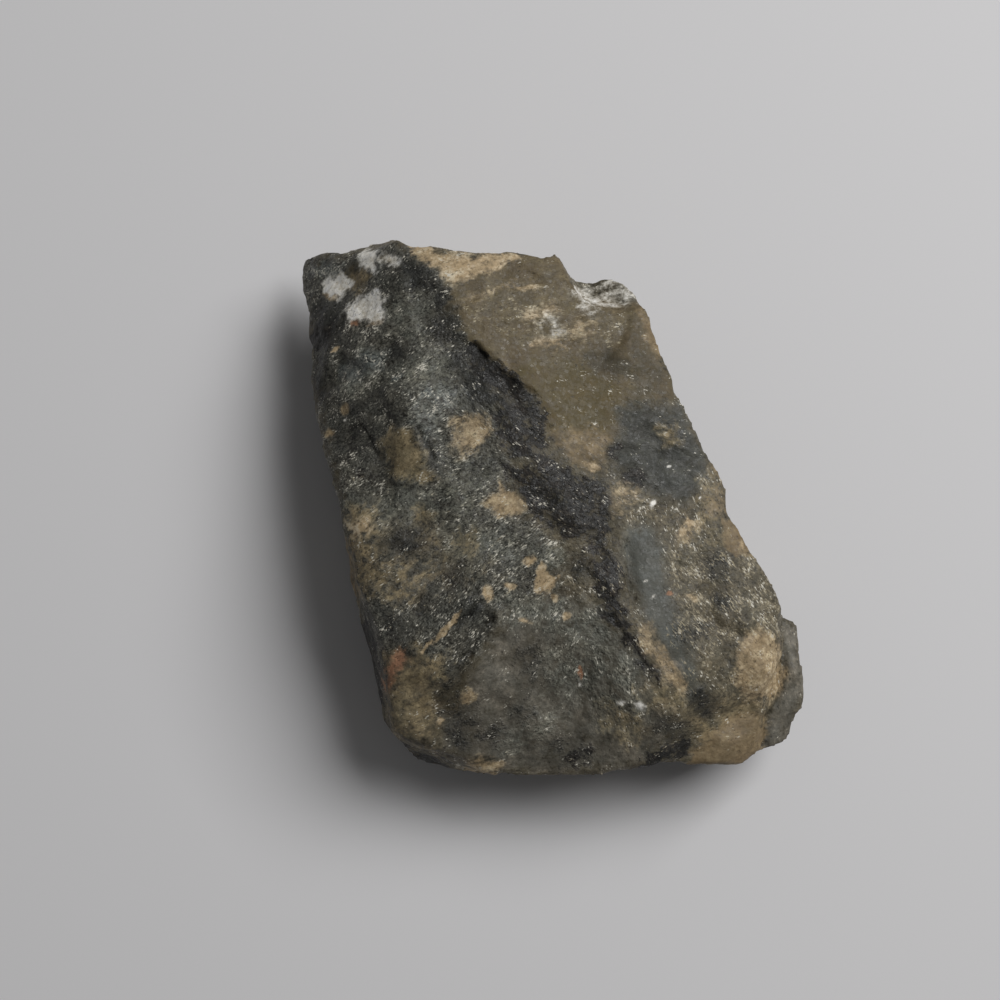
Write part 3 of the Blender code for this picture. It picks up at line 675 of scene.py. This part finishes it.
        # painted shade: the shaded strip of wall under the front-left rim
        (1.0, 0.4, [(-17.5, -26.4), (-15.1, -27.4), (-12.6, -28.1), (-11.0, -28.7), (-12.3, -29.8),
            (-16.7, -29.3)]),
        # painted shade: the strip of the left wall that lies in shade
        (1.0, 0.4, [(-22.3, -12.7), (-20.0, -13.5), (-19.3, -15.9), (-18.8, -18.1), (-18.5, -20.7),
            (-18.3, -23.0), (-20.4, -22.5), (-21.2, -17.2)]),
        (0.35, 1.0, [(1.0, -26.2), (4.1, -25.7), (5.7, -27.3), (4.2, -29.5), (1.5, -29.5)]),
    ],
    "amber": [
        (0.6, 1.0, [(0.1, 7.3), (3.2, 8.0), (5.8, 7.7), (6.7, 6.6), (6.0, 5.0), (5.5, 3.0), (4.3, 2.3),
            (2.3, 3.5), (0.5, 5.3)]),
        (1.0, 0.6, [(10.0, 22.0), (10.8, 21.2), (12.2, 19.5), (13.2, 16.6), (11.7, 16.1), (10.6, 18.2),
            (10.1, 20.1)]),
        (0.45, 0.6, [(17.1, 4.7), (18.7, 4.8), (19.8, 2.6), (20.7, 1.0), (20.7, -1.3), (18.7, -2.2),
            (17.3, -2.1), (16.6, -1.3), (16.6, 0.2), (17.5, 1.6), (17.4, 3.1)]),
        (1.0, 0.4, [(18.8, -2.5), (20.8, -1.8), (22.5, -4.1), (22.9, -5.5), (20.9, -6.4), (19.6, -5.6),
            (18.8, -4.4)]),
        (1.0, 0.8, [(14.7, -29.5), (15.8, -27.2), (17.2, -25.7), (18.5, -24.5), (21.0, -23.4), (23.0, -23.0),
            (24.2, -24.9), (23.8, -28.0), (21.9, -29.3), (20.3, -30.1), (17.3, -30.1)]),
        (0.8, 0.6, [(-24.0, -3.0), (-22.0, -4.6), (-21.5, -7.1), (-20.9, -10.8), (-22.9, -10.6),
            (-23.9, -7.9), (-24.1, -5.3)]),
    ],
    "tan": [
        (1.2, 0.9, [(20.8, -16.0), (21.7, -14.7), (22.9, -14.3), (24.5, -15.2), (25.4, -16.4), (25.8, -18.6),
            (25.3, -20.5), (24.3, -21.6), (22.4, -21.7), (20.8, -20.9), (20.2, -19.3), (20.0, -17.6)]),
        (0.85, 0.6, [(-11.1, 7.6), (-10.2, 8.7), (-8.7, 9.1), (-6.9, 8.3), (-6.7, 7.2), (-7.4, 5.9),
            (-8.9, 5.0), (-9.8, 4.1), (-10.7, 4.8)]),
        (1.0, 0.3, [(-5.6, 1.6), (-4.7, 0.7), (-4.0, 0.3), (-3.2, -0.5), (-3.0, -1.6), (-3.7, -2.2),
            (-5.1, -2.2), (-6.3, -1.7), (-7.4, -0.6), (-6.7, -0.2), (-5.7, -0.1)]),
        (1.0, 0.25, [(-1.2, -7.6), (-0.4, -8.3), (0.6, -9.3), (0.0, -10.2), (-1.3, -10.2), (-1.8, -9.7),
            (-1.4, -8.7)]),
        (0.45, 0.5, [(6.7, 1.4), (7.7, 1.9), (9.1, 1.5), (9.8, 0.5), (9.4, -0.9), (7.9, -2.1), (6.8, -2.3),
            (6.4, -0.8)]),
        (0.75, 0.5, [(9.7, -14.5), (10.5, -13.7), (11.0, -15.1), (12.4, -16.7), (13.8, -18.4), (15.0, -20.4),
            (14.1, -21.1), (12.3, -19.9), (11.2, -18.3), (10.1, -17.2), (9.5, -15.9)]),
        (0.65, 0.5, [(14.1, -4.6), (14.2, -2.8), (15.3, -2.1), (16.1, -2.5), (15.9, -3.8), (15.0, -4.8)]),
        (0.9, 0.4, [(-9.3, -28.6), (-7.6, -28.2), (-5.8, -28.6), (-6.0, -30.3), (-7.9, -30.3),
            (-9.2, -29.9)]),
        (0.4, 0.5, [(1.7, 18.3), (2.3, 19.7), (3.8, 20.4), (5.5, 20.1), (5.2, 18.6), (3.8, 17.8),
            (2.3, 17.6)]),
        (0.42, 0.5, [(-9.3, 21.9), (-7.8, 22.8), (-5.6, 23.5), (-4.1, 24.0), (-3.6, 23.6), (-5.6, 22.8),
            (-7.6, 22.1), (-8.9, 21.6)]),
    ],
    "cream": [
        (1.0, 0.4, [(-15.6, 29.8), (-12.9, 27.1), (-10.8, 26.8), (-8.5, 27.0), (-5.1, 27.4), (-3.4, 27.3),
            (-5.3, 26.1), (-6.7, 24.9), (-8.9, 24.1), (-10.6, 23.4), (-11.8, 23.6), (-12.2, 24.9),
            (-13.9, 26.0), (-15.1, 26.7)]),
        (0.8, 0.4, [(-3.3, 19.8), (-2.5, 20.7), (-1.2, 21.2), (0.6, 21.6), (1.0, 21.2), (-0.5, 20.3),
            (-2.1, 19.6)]),
        (0.8, 0.4, [(-2.1, 17.0), (-0.7, 17.5), (0.7, 17.3), (1.8, 16.9), (1.4, 16.3), (-0.1, 16.6),
            (-1.4, 16.6)]),
        (0.65, 0.3, [(-4.0, 23.1), (-3.0, 23.6), (-1.5, 23.5), (-2.3, 23.0), (-3.6, 22.8)]),
        (1.1, 0.3, [(-22.3, -2.8), (-21.1, -2.7), (-20.2, -2.3), (-19.7, -2.8), (-19.9, -4.0), (-20.9, -4.3),
            (-21.6, -4.4), (-22.1, -3.7)]),
        (1.1, 0.15, [(-1.2, -7.3), (-0.6, -7.5), (0.4, -9.0), (0.1, -9.9), (-1.6, -9.9), (-1.6, -8.8)]),
        (0.9, 0.4, [(3.4, 3.1), (4.6, 3.7), (5.2, 3.0), (4.4, 2.4)]),
    ],
    "whiteAndGlint": [
        (1.6, 0.3, [(-25.8, 25.4), (-24.9, 26.0), (-23.2, 25.9), (-22.5, 24.9), (-23.0, 23.8), (-23.6, 23.2),
            (-24.7, 23.5), (-25.4, 24.6)]),
        (1.4, 0.4, [(-21.4, 27.2), (-20.7, 28.8), (-19.6, 28.0), (-19.2, 26.8), (-19.3, 25.6), (-20.2, 26.0),
            (-21.2, 26.8)]),
        (1.2, 0.3, [(-19.0, 27.0), (-17.9, 27.4), (-16.8, 26.8), (-17.3, 26.1), (-18.4, 26.2)]),
        (1.5, 0.4, [(-22.7, 21.0), (-22.2, 22.1), (-21.0, 22.4), (-20.0, 22.6), (-19.0, 23.0), (-18.5, 21.8),
            (-18.4, 20.3), (-19.1, 19.7), (-20.1, 19.6), (-21.0, 20.3), (-22.0, 20.3)]),
        (0.6, 0.5, [(2.2, 24.0), (3.1, 24.2), (4.3, 24.1), (5.6, 23.1), (5.5, 21.6), (4.4, 20.8),
            (3.7, 20.9), (3.5, 22.3), (2.6, 23.1)]),
        (0.52, 0.6, [(4.4, 22.0), (5.0, 24.3), (6.5, 26.1), (8.6, 25.7), (10.1, 24.7), (9.9, 23.5),
            (8.1, 22.3), (6.2, 22.3)]),
        (0.25, 0.5, [(-1.4, 19.9), (-0.3, 20.6), (1.2, 20.3), (1.3, 18.4), (0.1, 17.9), (-1.0, 18.3)]),
    ],
    "rust": [
        (1.0, 0.5, [(-18.1, -18.6), (-17.1, -17.4), (-16.0, -16.6), (-15.5, -17.3), (-16.5, -18.6),
            (-17.3, -20.4), (-18.2, -20.8)]),
    ],
}

patchFade = (1.1, 0.35)  # how far a patch's edge fades: so many times its own softness, and mm more

# Small spots of a mineral: middle, half length and half width in mm, and how they lie in degrees.
specks = {
    "cream": [(-13.5, -16.3, 0.99, 0.2, 50), (-11.7, -14.8, 1.54, 0.29, 48), (-10.5, -13.4, 0.99, 0.22, 55),
        (-2.4, -7.0, 0.6, 0.5, 0), (-3.0, -13.5, 0.66, 0.24, -25), (1.6, -13.1, 0.4, 0.5, -60),
        (-7.0, -10.6, 0.55, 0.66, 0), (0.2, -11.1, 0.4, 0.35, 0), (-4.5, -9.8, 0.33, 0.6, 80),
        (15.3, -10.9, 0.7, 0.26, -35), (15.2, -2.6, 0.55, 0.44, -30), (14.5, -3.7, 0.44, 0.33, 0),
        (20.9, -4.9, 0.5, 0.3, -60), (-12.2, -24.3, 0.45, 0.3, 30), (-24.0, 17.0, 0.55, 0.2, 30)],
    "tan": [(-9.1, -21.6, 0.75, 0.65, 50), (-24.6, 23.6, 0.9, 0.4, -25), (-19.4, 19.6, 0.9, 0.35, 15),
        (-22.8, 10.1, 0.55, 0.55, 0), (-24.5, 7.7, 0.55, 0.45, -40), (-23.7, 25.7, 0.5, 0.35, 0)],
    # white specks; the small ones on the blue-grey and the grey plane are painted glints
    "whiteAndGlint": [(3.1, -20.3, 0.2, 0.4, 0), (12.9, 3.6, 0.14, 0.11, 0), (11.2, -0.5, 0.34, 0.24, 60),
        (16.4, 0.3, 0.11, 0.1, 0), (7.7, -22.4, 0.28, 0.5, 60), (9.6, -22.7, 0.34, 0.55, 60),
        (10.2, -9.3, 0.2, 0.1, 0), (11.1, -11.0, 0.2, 0.2, 0), (-22.3, 20.7, 0.4, 0.3, 0),
        (-22.8, 9.0, 0.33, 0.13, 30)],
    "silver": [(-13.8, 11.1, 1.0, 0.33, 38), (-16.9, 13.0, 0.65, 0.22, 25)],
    "rust": [(3.1, -19.0, 0.25, 0.6, 10), (12.8, -10.5, 0.2, 0.34, 60), (-21.7, 19.8, 0.4, 0.35, 0)],
}

speckShake = (0.6, 0.25, (65, 66))  # size and reach in mm of the noise that drags them about, and its seeds
speckFade = (0.4, 1.7)  # where a speck begins and ends to fade, as shares of its half length and width

# Where pale crumbs lie thickly: how thickly, and the outline.
crumbs = {
    "rightUpper": (0.3, [(12.0, 3.2), (15.4, 2.2), (17.0, 0.0), (18.4, -3.4), (16.0, -6.0), (12.0, -6.6),
        (10.8, -2.5)]),
    "rightLower": (0.7, [(12.0, -5.6), (16.0, -5.0), (21.4, -4.9), (24.6, -9.9), (26.7, -13.4),
        (24.1, -16.4), (21.1, -15.4), (17.8, -18.3), (16.2, -21.9), (14.0, -22.0), (11.8, -16.7),
        (12.7, -11.3)]),
    "blackMiddle": (0.38, [(-5.0, 11.1), (-1.2, 10.9), (0.1, 6.2), (2.3, 2.8), (5.6, 1.8), (7.0, -0.3),
        (8.3, -4.7), (9.6, -11.3), (11.2, -16.7), (14.0, -22.0), (12.3, -22.6), (9.6, -18.8), (6.3, -14.6),
        (4.2, -11.4), (1.5, -7.0), (-0.7, -3.8), (-3.4, -0.5), (-4.7, 2.8), (-4.0, 6.1), (-5.6, 8.3)]),
    "slabBack": (0.6, [(-8.9, 21.5), (-3.4, 23.6), (1.0, 22.1), (5.5, 21.2), (10.0, 20.3), (9.9, 17.3),
        (5.5, 16.5), (1.0, 16.3), (-2.3, 16.7), (-6.7, 17.1), (-9.8, 18.8)]),
    "leftOlive": (0.4, [(-23.2, 3.3), (-16.5, 4.9), (-8.9, 2.8), (-5.6, -2.7), (-5.6, -8.2), (-8.8, -11.4),
        (-13.2, -13.4), (-18.7, -15.6), (-21.5, -12.5), (-22.2, -6.3), (-23.0, -1.2)]),
    "middle": (0.45, [(-6.7, -2.7), (-1.3, -3.8), (3.1, -8.1), (6.3, -13.5), (5.3, -15.6), (0.9, -12.4),
        (-3.4, -11.3), (-6.7, -11.4), (-8.9, -8.1)]),
    "facetLow": (0.4, [(5.3, -15.6), (10.7, -19.9), (15.2, -25.1), (14.2, -28.3), (7.6, -29.0), (5.2, -24.1),
        (4.2, -19.8)]),
    "frontBand": (0.3, [(-12.2, -26.2), (-3.4, -26.8), (7.4, -27.4), (14.2, -26.7), (14.2, -28.9),
        (5.4, -30.0), (-5.6, -30.3), (-12.3, -29.3)]),
    "lobes": (0.35, [(15.1, -21.0), (19.5, -20.8), (22.9, -15.4), (26.8, -16.1), (27.3, -21.6),
        (23.2, -26.7), (18.5, -28.4), (15.8, -26.2)]),
}

crumbsElsewhere = 0.12
crumbFade = 1.5  # mm

# How the patches' outlines are dragged about along the grain: length, width and reach in mm, and a seed.
dragAlong = [(2.4, 0.9, 0.7, 61), (0.9, 0.4, 0.35, 62)]
dragAcross = (1.8, 0.45, 63)  # size and reach in mm, and a seed

skinFacing = (-0.45, 0.0)  # the top's colours run a little over the rim

# Each mineral's dark, middle and light colour, how ragged and how soft its edge is,
# then how thickly painted glints lie on it, how rough it is and how grainy, laid on in this order.
minerals = {
    "leftGrey": (("2c2c28", "6b6a61", "b2afa1"), (1.1, 0.3), (0.85, 0.52, 1.8)),
    "olive": (("4c4435", "786e59", "b7a683"), (1.2, 0.4), (0.35, 0.56, 0.6)),
    "facetGrey": (("45423a", "6f6b60", "9f988a"), (1.2, 0.35), (0.15, 0.57, 0.4)),
    "brown": (("574c37", "6e6249", "8c7f60"), (0.9, 0.25), (0.2, 0.56, 0.45)),
    "khaki": (("544827", "605431", "72643f"), (1.1, 0.35), (0.3, 0.57, 0.3)),
    "umber": (("3f3828", "4f4733", "645b42"), (1.1, 0.35), (0.3, 0.57, 0.35)),
    "blueGrey": (("2c2e2a", "42433d", "5f6056"), (0.9, 0.45), (0.2, 0.52, 0.5)),
    "planeGrey": (("545650", "61635d", "73746c"), (0.9, 0.45), (0.2, 0.52, 0.4)),
    "sage": (("50514a", "77786e", "b0ae9f"), (1.4, 0.5), (0.75, 0.5, 1.3)),
    "sand": (("5c513c", "8c7f62", "bfae8c"), (1.2, 0.45), (0.4, 0.56, 0.7)),
    "slate": (("1a1b1a", "30312e", "57554e"), (1.3, 0.45), (0.5, 0.5, 1.5)),
    "silver": (("4a4e4d", "7a7f7b", "bebdb3"), (1.4, 0.45), (1.0, 0.46, 1.3)),
    # black mineral, and painted shade on the wall strips at the front left and the left
    "blackAndShade": (("080808", "1a1917", "4d463e"), (2.0, 0.28), (0.3, 0.5, 1.1)),
    "amber": (("6c5c43", "8a795c", "ae9c7a"), (0.9, 0.35), (0.2, 0.57, 0.3)),
    "tan": (("78694e", "ab9777", "ecdcba"), (1.3, 0.5), (0.4, 0.57, 0.6)),
    "cream": (("8f7e62", "c2ad8b", "f6ecd4"), (1.6, 0.5), (0.2, 0.62, 0.6)),
    # white mineral and painted glints: near-pure white that also stands in for highlights on its faces
    "whiteAndGlint": (("bcb29c", "fbf8f0", "ffffff"), (1.5, 0.6), (0.8, 0.45, 0.5)),
    "rust": (("735540", "a67f65", "d6aa85"), (1.3, 0.5), (0.2, 0.62, 0.6)),
}

stoneLook = {
    "ground": ("38342b", "6c6553", "aa9e84"),  # where no other mineral lies
    "groundFinish": (0.8, 0.56, 0.9),
    "rampPlaces": (0.12, 0.5, 0.92),
    "sideDark": ("0f0f0f", "2b2a28", "5a564e"),
    "sideTan": ("4a4030", "6f624b", "a5946f"),
    "sideRange": (0.5, 0.58),
    "warm": "6b5636",  # the tone drifts between these two
    "cool": "4b555a",
    "tintRange": (0.38, 0.62),
    "drift": 0.3,
    "crumb": ("7a6f5a", "a99d82", "ded4ba"),
    # painted glints: the pale colour laid in where small crystals catch the light
    "fleck": "dcd7c8",
    # painted shade: the dark colour of small spots that stand in for the shade between crystals
    "pit": "0c0b0a",
    # size in mm, detail and roughness of the plain noises
    "noises": {
        "broad": (4.5, 4.0, 0.6),
        "middling": (1.5, 3.0, 0.6),
        "fine": (0.42, 2.0, 0.6),
        "finest": (0.2, 1.0, 0.5),
        "clumps": (0.9, 2.0, 0.6),
        "tint": (2.6, 3.0, 0.6),
        "sides": (7.0, 4.0, 0.6),
    },
    # length and width in mm, detail and roughness of the noises drawn out along the grain
    "streaks": {
        "longStreak": (2.6, 0.8, 3.0, 0.6),
        "shortStreak": (0.8, 0.32, 2.0, 0.6),
        "crumbStreak": (0.6, 0.18, 2.0, 0.6),
        "needles": (0.4, 0.15, 1.0, 0.5),
    },
    # size in mm, lean and step of the small crystals and of the larger lumps
    "crystals": {"grit": (0.32, 0.6, 0.025), "lump": (0.9, 0.32, 0.03)},
    # how much each field counts in the mottle that all the minerals share, and in their ragged edges; through
    # the depth mask the mottle paints shade into the hollows and light onto the rises
    "mottle": {"broad": 0.5, "middling": 0.75, "longStreak": 0.45, "shortStreak": 0.35, "fine": 0.45,
               "gritTone": 0.16, "lumpTone": 0.12, "depth": 0.25},
    "ragged": {"middling": 1.3, "longStreak": 0.8, "shortStreak": 0.4, "fine": 0.5},
    # small marks (pale crumbs, painted glints, painted shade in dark spots): how much each field counts, the
    # sums between which they come in, and how strong they get
    "crumbMarks": ({"crumbStreak": 1.3, "longStreak": 0.9, "middling": 0.6, "crumbs": 0.6},
                   (0.70, 0.86), 0.85),
    # painted glints: pale spots where small crystals catch the light
    "fleckMarks": ({"needles": 1.1, "clumps": 0.8, "middling": 0.5, "broad": 0.35, "longStreak": 0.5,
                    "sparkle": 0.2}, (0.75, 0.89), 1.0),
    # painted shade: small dark spots between the crystals
    "pitMarks": ({"needles": -1.0, "middling": 0.5, "fine": -0.4, "grainy": 0.14}, (0.64, 0.80), 0.62),
    "glossSpread": 0.2,  # how far one crystal's roughness lies from the next one's
    "brightRange": (0.8, 1.0),
    "brightGloss": 0.2,
    "ior": 1.56,
    "mirror": 0.25,  # broken faces shade each other
    # heights of the bumps in mm, and shares of the crystals' and the lumps' own heights
    "streakHeight": 0.05,
    "bumps": {"fine": 0.09, "finest": 0.04, "gritHeight": 0.4, "lumpHeight": 0.35},
}


def paintMasks(piece, points, normals, grain, turn):
    # the outlines are dragged about, mostly along the grain, so that no edge runs straight
    along = sum(reach * noiseAt(grain / (length, width, width), 1.0, seed)
                for length, width, reach, seed in dragAlong)
    size, reach, seed = dragAcross
    across = reach * noiseAt(points, size, seed)
    warped = points[:, :2].copy()
    warped[:, 0] += along * np.cos(turn) - across * np.sin(turn)
    warped[:, 1] += along * np.sin(turn) + across * np.cos(turn)
    speckled = shaken(points, *speckShake)
    for name, shapes in patches.items():
        mask = np.zeros(len(points))
        for strength, soft, outline in shapes:
            fade = soft * patchFade[0] + patchFade[1]
            mask = np.maximum(mask, strength * smoothStep(-fade, fade, insideDistance(warped, outline)))
        for x, y, long, wide, lie in specks.get(name, []):
            lie = math.radians(lie)
            away = speckled - (x, y)
            u = (away[:, 0] * math.cos(lie) + away[:, 1] * math.sin(lie)) / long
            v = (-away[:, 0] * math.sin(lie) + away[:, 1] * math.cos(lie)) / wide
            mask = np.maximum(mask, 1 - smoothStep(*speckFade, np.hypot(u, v)))
        addMask(piece, name, mask)
    thick = np.full(len(points), crumbsElsewhere)
    for much, outline in crumbs.values():
        thick = np.maximum(thick, much * smoothStep(-crumbFade, crumbFade, insideDistance(warped, outline)))
    addMask(piece, "crumbs", thick)
    addMask(piece, "skin", smoothStep(*skinFacing, normals[:, 2]))
    print("minerals laid out:", len(patches))


def addNode(tree, kind, inputs=None, **settings):
    made = tree.nodes.new(kind)
    for name, value in settings.items():
        setattr(made, name, value)
    for name, value in (inputs or {}).items():
        socket = made.inputs[name]
        if isinstance(value, bpy.types.NodeSocket):
            tree.links.new(value, socket)
        else:
            socket.default_value = value
    return made


def calculate(tree, operation, a, b, clamp=False):
    return addNode(tree, "ShaderNodeMath", {0: a, 1: b}, operation=operation, use_clamp=clamp).outputs[0]


def vectors(tree, operation, a, b):
    return addNode(tree, "ShaderNodeVectorMath", {0: a, 1: b}, operation=operation).outputs


def ranged(tree, value, low, high, kind="LINEAR"):
    ends = {"Value": value, "From Min": low, "From Max": high}
    return addNode(tree, "ShaderNodeMapRange", ends, interpolation_type=kind).outputs[0]


def centred(tree, value):
    return calculate(tree, "SUBTRACT", value, 0.5)


def mixColour(tree, factor, a, b, blend="MIX"):
    mixed = addNode(tree, "ShaderNodeMix", {0: factor, 6: a, 7: b}, data_type="RGBA", blend_type=blend)
    return mixed.outputs[2]


def colourRamp(tree, factor, colours):
    ramp = addNode(tree, "ShaderNodeValToRGB", {"Fac": factor})
    ramp.color_ramp.elements.new(0.5)
    for stop, place, colour in zip(ramp.color_ramp.elements, stoneLook["rampPlaces"], colours):
        stop.position = place
        stop.color = linearColour(colour)
    return ramp.outputs["Color"]


def attribute(tree, name):
    return addNode(tree, "ShaderNodeAttribute", attribute_type="GEOMETRY", attribute_name=name).outputs


def noiseField(tree, where, size, detail, roughness):
    look = {"Vector": where, "Scale": 1 / size, "Detail": detail, "Roughness": roughness}
    return addNode(tree, "ShaderNodeTexNoise", look).outputs["Fac"]


def newGroup(name, inputs, outputs):
    group = bpy.data.node_groups.new(name, "ShaderNodeTree")
    for way, labels in (("INPUT", inputs), ("OUTPUT", outputs)):
        for label in labels:
            kind = "NodeSocketVector" if label == "Place" else "NodeSocketFloat"
            group.interface.new_socket(name=label, in_out=way, socket_type=kind)
    return group, group.nodes.new("NodeGroupInput").outputs, group.nodes.new("NodeGroupOutput").inputs


def crystalGrainGroup():
    # small crystals: each is a flat that leans its own way, with a tone of its own
    look = ["Place", "Size", "Lean", "Step"]
    group, given, out = newGroup("crystalGrain", look, ["Height", "Tone", "Rare"])
    scale = calculate(group, "DIVIDE", 1.0, given["Size"])
    cells = addNode(group, "ShaderNodeTexVoronoi", {"Vector": given["Place"], "Scale": scale}, feature="F1")
    local = vectors(group, "SUBTRACT", given["Place"], cells.outputs["Position"])[0]
    facing = vectors(group, "SUBTRACT", cells.outputs["Color"], (0.5, 0.5, 0.5))[0]
    slope = vectors(group, "DOT_PRODUCT", local, facing)["Value"]
    tone, rare, level = addNode(group, "ShaderNodeSeparateXYZ", {0: cells.outputs["Color"]}).outputs
    rise = calculate(group, "MULTIPLY", slope, given["Lean"])
    stepped = calculate(group, "MULTIPLY", centred(group, level), given["Step"])
    group.links.new(calculate(group, "ADD", rise, stepped), out["Height"])
    group.links.new(tone, out["Tone"])
    group.links.new(rare, out["Rare"])
    return group


def raggedEdgeGroup():
    # breaks up a mineral's soft edge with noise, and far from the mineral there is none of it
    group, given, out = newGroup("raggedEdge", ["Mask", "Noise", "Ragged", "Soft"], ["Mask"])
    nearness = 5.0
    shaking = calculate(group, "MULTIPLY", centred(group, given["Noise"]), given["Ragged"])
    near = calculate(group, "MULTIPLY", given["Mask"], nearness, clamp=True)
    total = calculate(group, "ADD", given["Mask"], calculate(group, "MULTIPLY", shaking, near))
    low = calculate(group, "SUBTRACT", 0.5, given["Soft"])
    high = calculate(group, "ADD", 0.5, given["Soft"])
    group.links.new(ranged(group, total, low, high, "SMOOTHSTEP"), out["Mask"])
    return group


def stoneFields(tree):
    # every mask, noise, streak and crystal that the colours and the bumps are made from, by name
    fields = {name: attribute(tree, name)["Fac"] for name in ("skin", "whole", "depth", "crumbs")}
    here = addNode(tree, "ShaderNodeTexCoord").outputs["Object"]
    place = addNode(tree, "ShaderNodeMapping", {"Vector": here, "Scale": (1 / mm, 1 / mm, 1 / mm)}).outputs[0]
    grain = attribute(tree, "grain")["Vector"]
    for name, look in stoneLook["noises"].items():
        fields[name] = noiseField(tree, place, *look)
    for name, (length, width, detail, roughness) in stoneLook["streaks"].items():
        drawnOut = {"Vector": grain, "Scale": (1 / length, 1 / width, 1 / width)}
        where = addNode(tree, "ShaderNodeMapping", drawnOut).outputs[0]
        fields[name] = noiseField(tree, where, 1.0, detail, roughness)
    group = crystalGrainGroup()
    for name, (size, lean, step) in stoneLook["crystals"].items():
        look = {"Place": place, "Size": size, "Lean": lean, "Step": step}
        for output in addNode(tree, "ShaderNodeGroup", look, node_tree=group).outputs:
            fields[name + output.name] = output
    return fields


def weighted(tree, fields, shares):
    # adds up fields, each about its own middle
    total = 0.5
    for name, share in shares.items():
        total = calculate(tree, "ADD", total, calculate(tree, "MULTIPLY", centred(tree, fields[name]), share))
    return total


def layMinerals(tree, fields, mottle):
    # the colour and the finish, as each mineral in turn goes over the ground
    ragged = weighted(tree, fields, stoneLook["ragged"])
    colour = colourRamp(tree, mottle, stoneLook["ground"])
    finish = stoneLook["groundFinish"] + (1.0,)
    group = raggedEdgeGroup()
    for name, (colours, (raggedness, softness), ownFinish) in minerals.items():
        look = {"Mask": attribute(tree, name)["Fac"], "Noise": ragged, "Ragged": raggedness, "Soft": softness}
        there = addNode(tree, "ShaderNodeGroup", look, node_tree=group).outputs["Mask"]
        colour = mixColour(tree, there, colour, colourRamp(tree, mottle, colours))
        finish = mixColour(tree, there, finish, ownFinish + (1.0,))
    return colour, finish


def sidesAndTint(tree, fields, mottle, colour):
    # the sides in two tones, then a slow drift from cool to warm over all of it
    dark, tan = (colourRamp(tree, mottle, stoneLook[key]) for key in ("sideDark", "sideTan"))
    patch = ranged(tree, fields["sides"], *stoneLook["sideRange"], "SMOOTHSTEP")
    colour = mixColour(tree, fields["skin"], mixColour(tree, patch, dark, tan), colour)
    warmth = ranged(tree, fields["tint"], *stoneLook["tintRange"])
    tint = mixColour(tree, warmth, linearColour(stoneLook["cool"]), linearColour(stoneLook["warm"]))
    return mixColour(tree, stoneLook["drift"], colour, tint, "SOFT_LIGHT")


def marks(tree, fields, name):
    shares, (low, high), strength = stoneLook[name]
    return calculate(tree, "MULTIPLY", ranged(tree, weighted(tree, fields, shares), low, high), strength)


def glossOf(tree, fields, roughness):
    # each crystal is smoother or rougher, and a few are bright
    spread = {0: centred(tree, fields["gritTone"]), 1: stoneLook["glossSpread"], 2: roughness}
    gloss = addNode(tree, "ShaderNodeMath", spread, operation="MULTIPLY_ADD").outputs[0]
    bright = ranged(tree, fields["gritRare"], *stoneLook["brightRange"])
    return calculate(tree, "SUBTRACT", gloss, calculate(tree, "MULTIPLY", bright, stoneLook["brightGloss"]))


def bumpOf(tree, fields):
    streaks = calculate(tree, "MULTIPLY", fields["shortStreak"], fields["whole"])
    height = calculate(tree, "MULTIPLY", streaks, stoneLook["streakHeight"])
    for name, share in stoneLook["bumps"].items():
        height = calculate(tree, "ADD", height, calculate(tree, "MULTIPLY", fields[name], share))
    height = calculate(tree, "MULTIPLY", height, fields["grainy"])
    return addNode(tree, "ShaderNodeBump", {"Height": height, "Distance": mm, "Strength": 1.0}).outputs[0]


def stoneMaterial():
    material = bpy.data.materials.new("labradorite")
    material.use_nodes = True
    tree = material.node_tree
    shader = tree.nodes["Principled BSDF"]
    fields = stoneFields(tree)
    mottle = weighted(tree, fields, stoneLook["mottle"])
    colour, finish = layMinerals(tree, fields, mottle)
    sparkle, roughness, grainy = addNode(tree, "ShaderNodeSeparateXYZ", {0: finish}).outputs
    fields.update({"sparkle": sparkle, "grainy": grainy})
    colour = sidesAndTint(tree, fields, mottle, colour)

    # pale crumbs, painted shade in small dark spots, and painted glints where small crystals catch the light
    crumbColour = colourRamp(tree, mottle, stoneLook["crumb"])
    colour = mixColour(tree, marks(tree, fields, "crumbMarks"), colour, crumbColour)
    colour = mixColour(tree, marks(tree, fields, "pitMarks"), colour, linearColour(stoneLook["pit"]))
    colour = mixColour(tree, marks(tree, fields, "fleckMarks"), colour, linearColour(stoneLook["fleck"]))
    tree.links.new(colour, shader.inputs["Base Color"])

    tree.links.new(glossOf(tree, fields, roughness), shader.inputs["Roughness"])
    shader.inputs["IOR"].default_value = stoneLook["ior"]
    shader.inputs["Specular IOR Level"].default_value = stoneLook["mirror"]
    tree.links.new(bumpOf(tree, fields), shader.inputs["Normal"])
    return material


def makeStone():
    piece, points, normals, grain, turn = shapeStone()
    paintMasks(piece, points, normals, grain, turn)
    piece.data.materials.append(stoneMaterial())
    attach(piece, "root")
    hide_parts(stoneShape["node"])
    print("stone finished")


setCamera()
setLight()
setFloor()
makeStone()
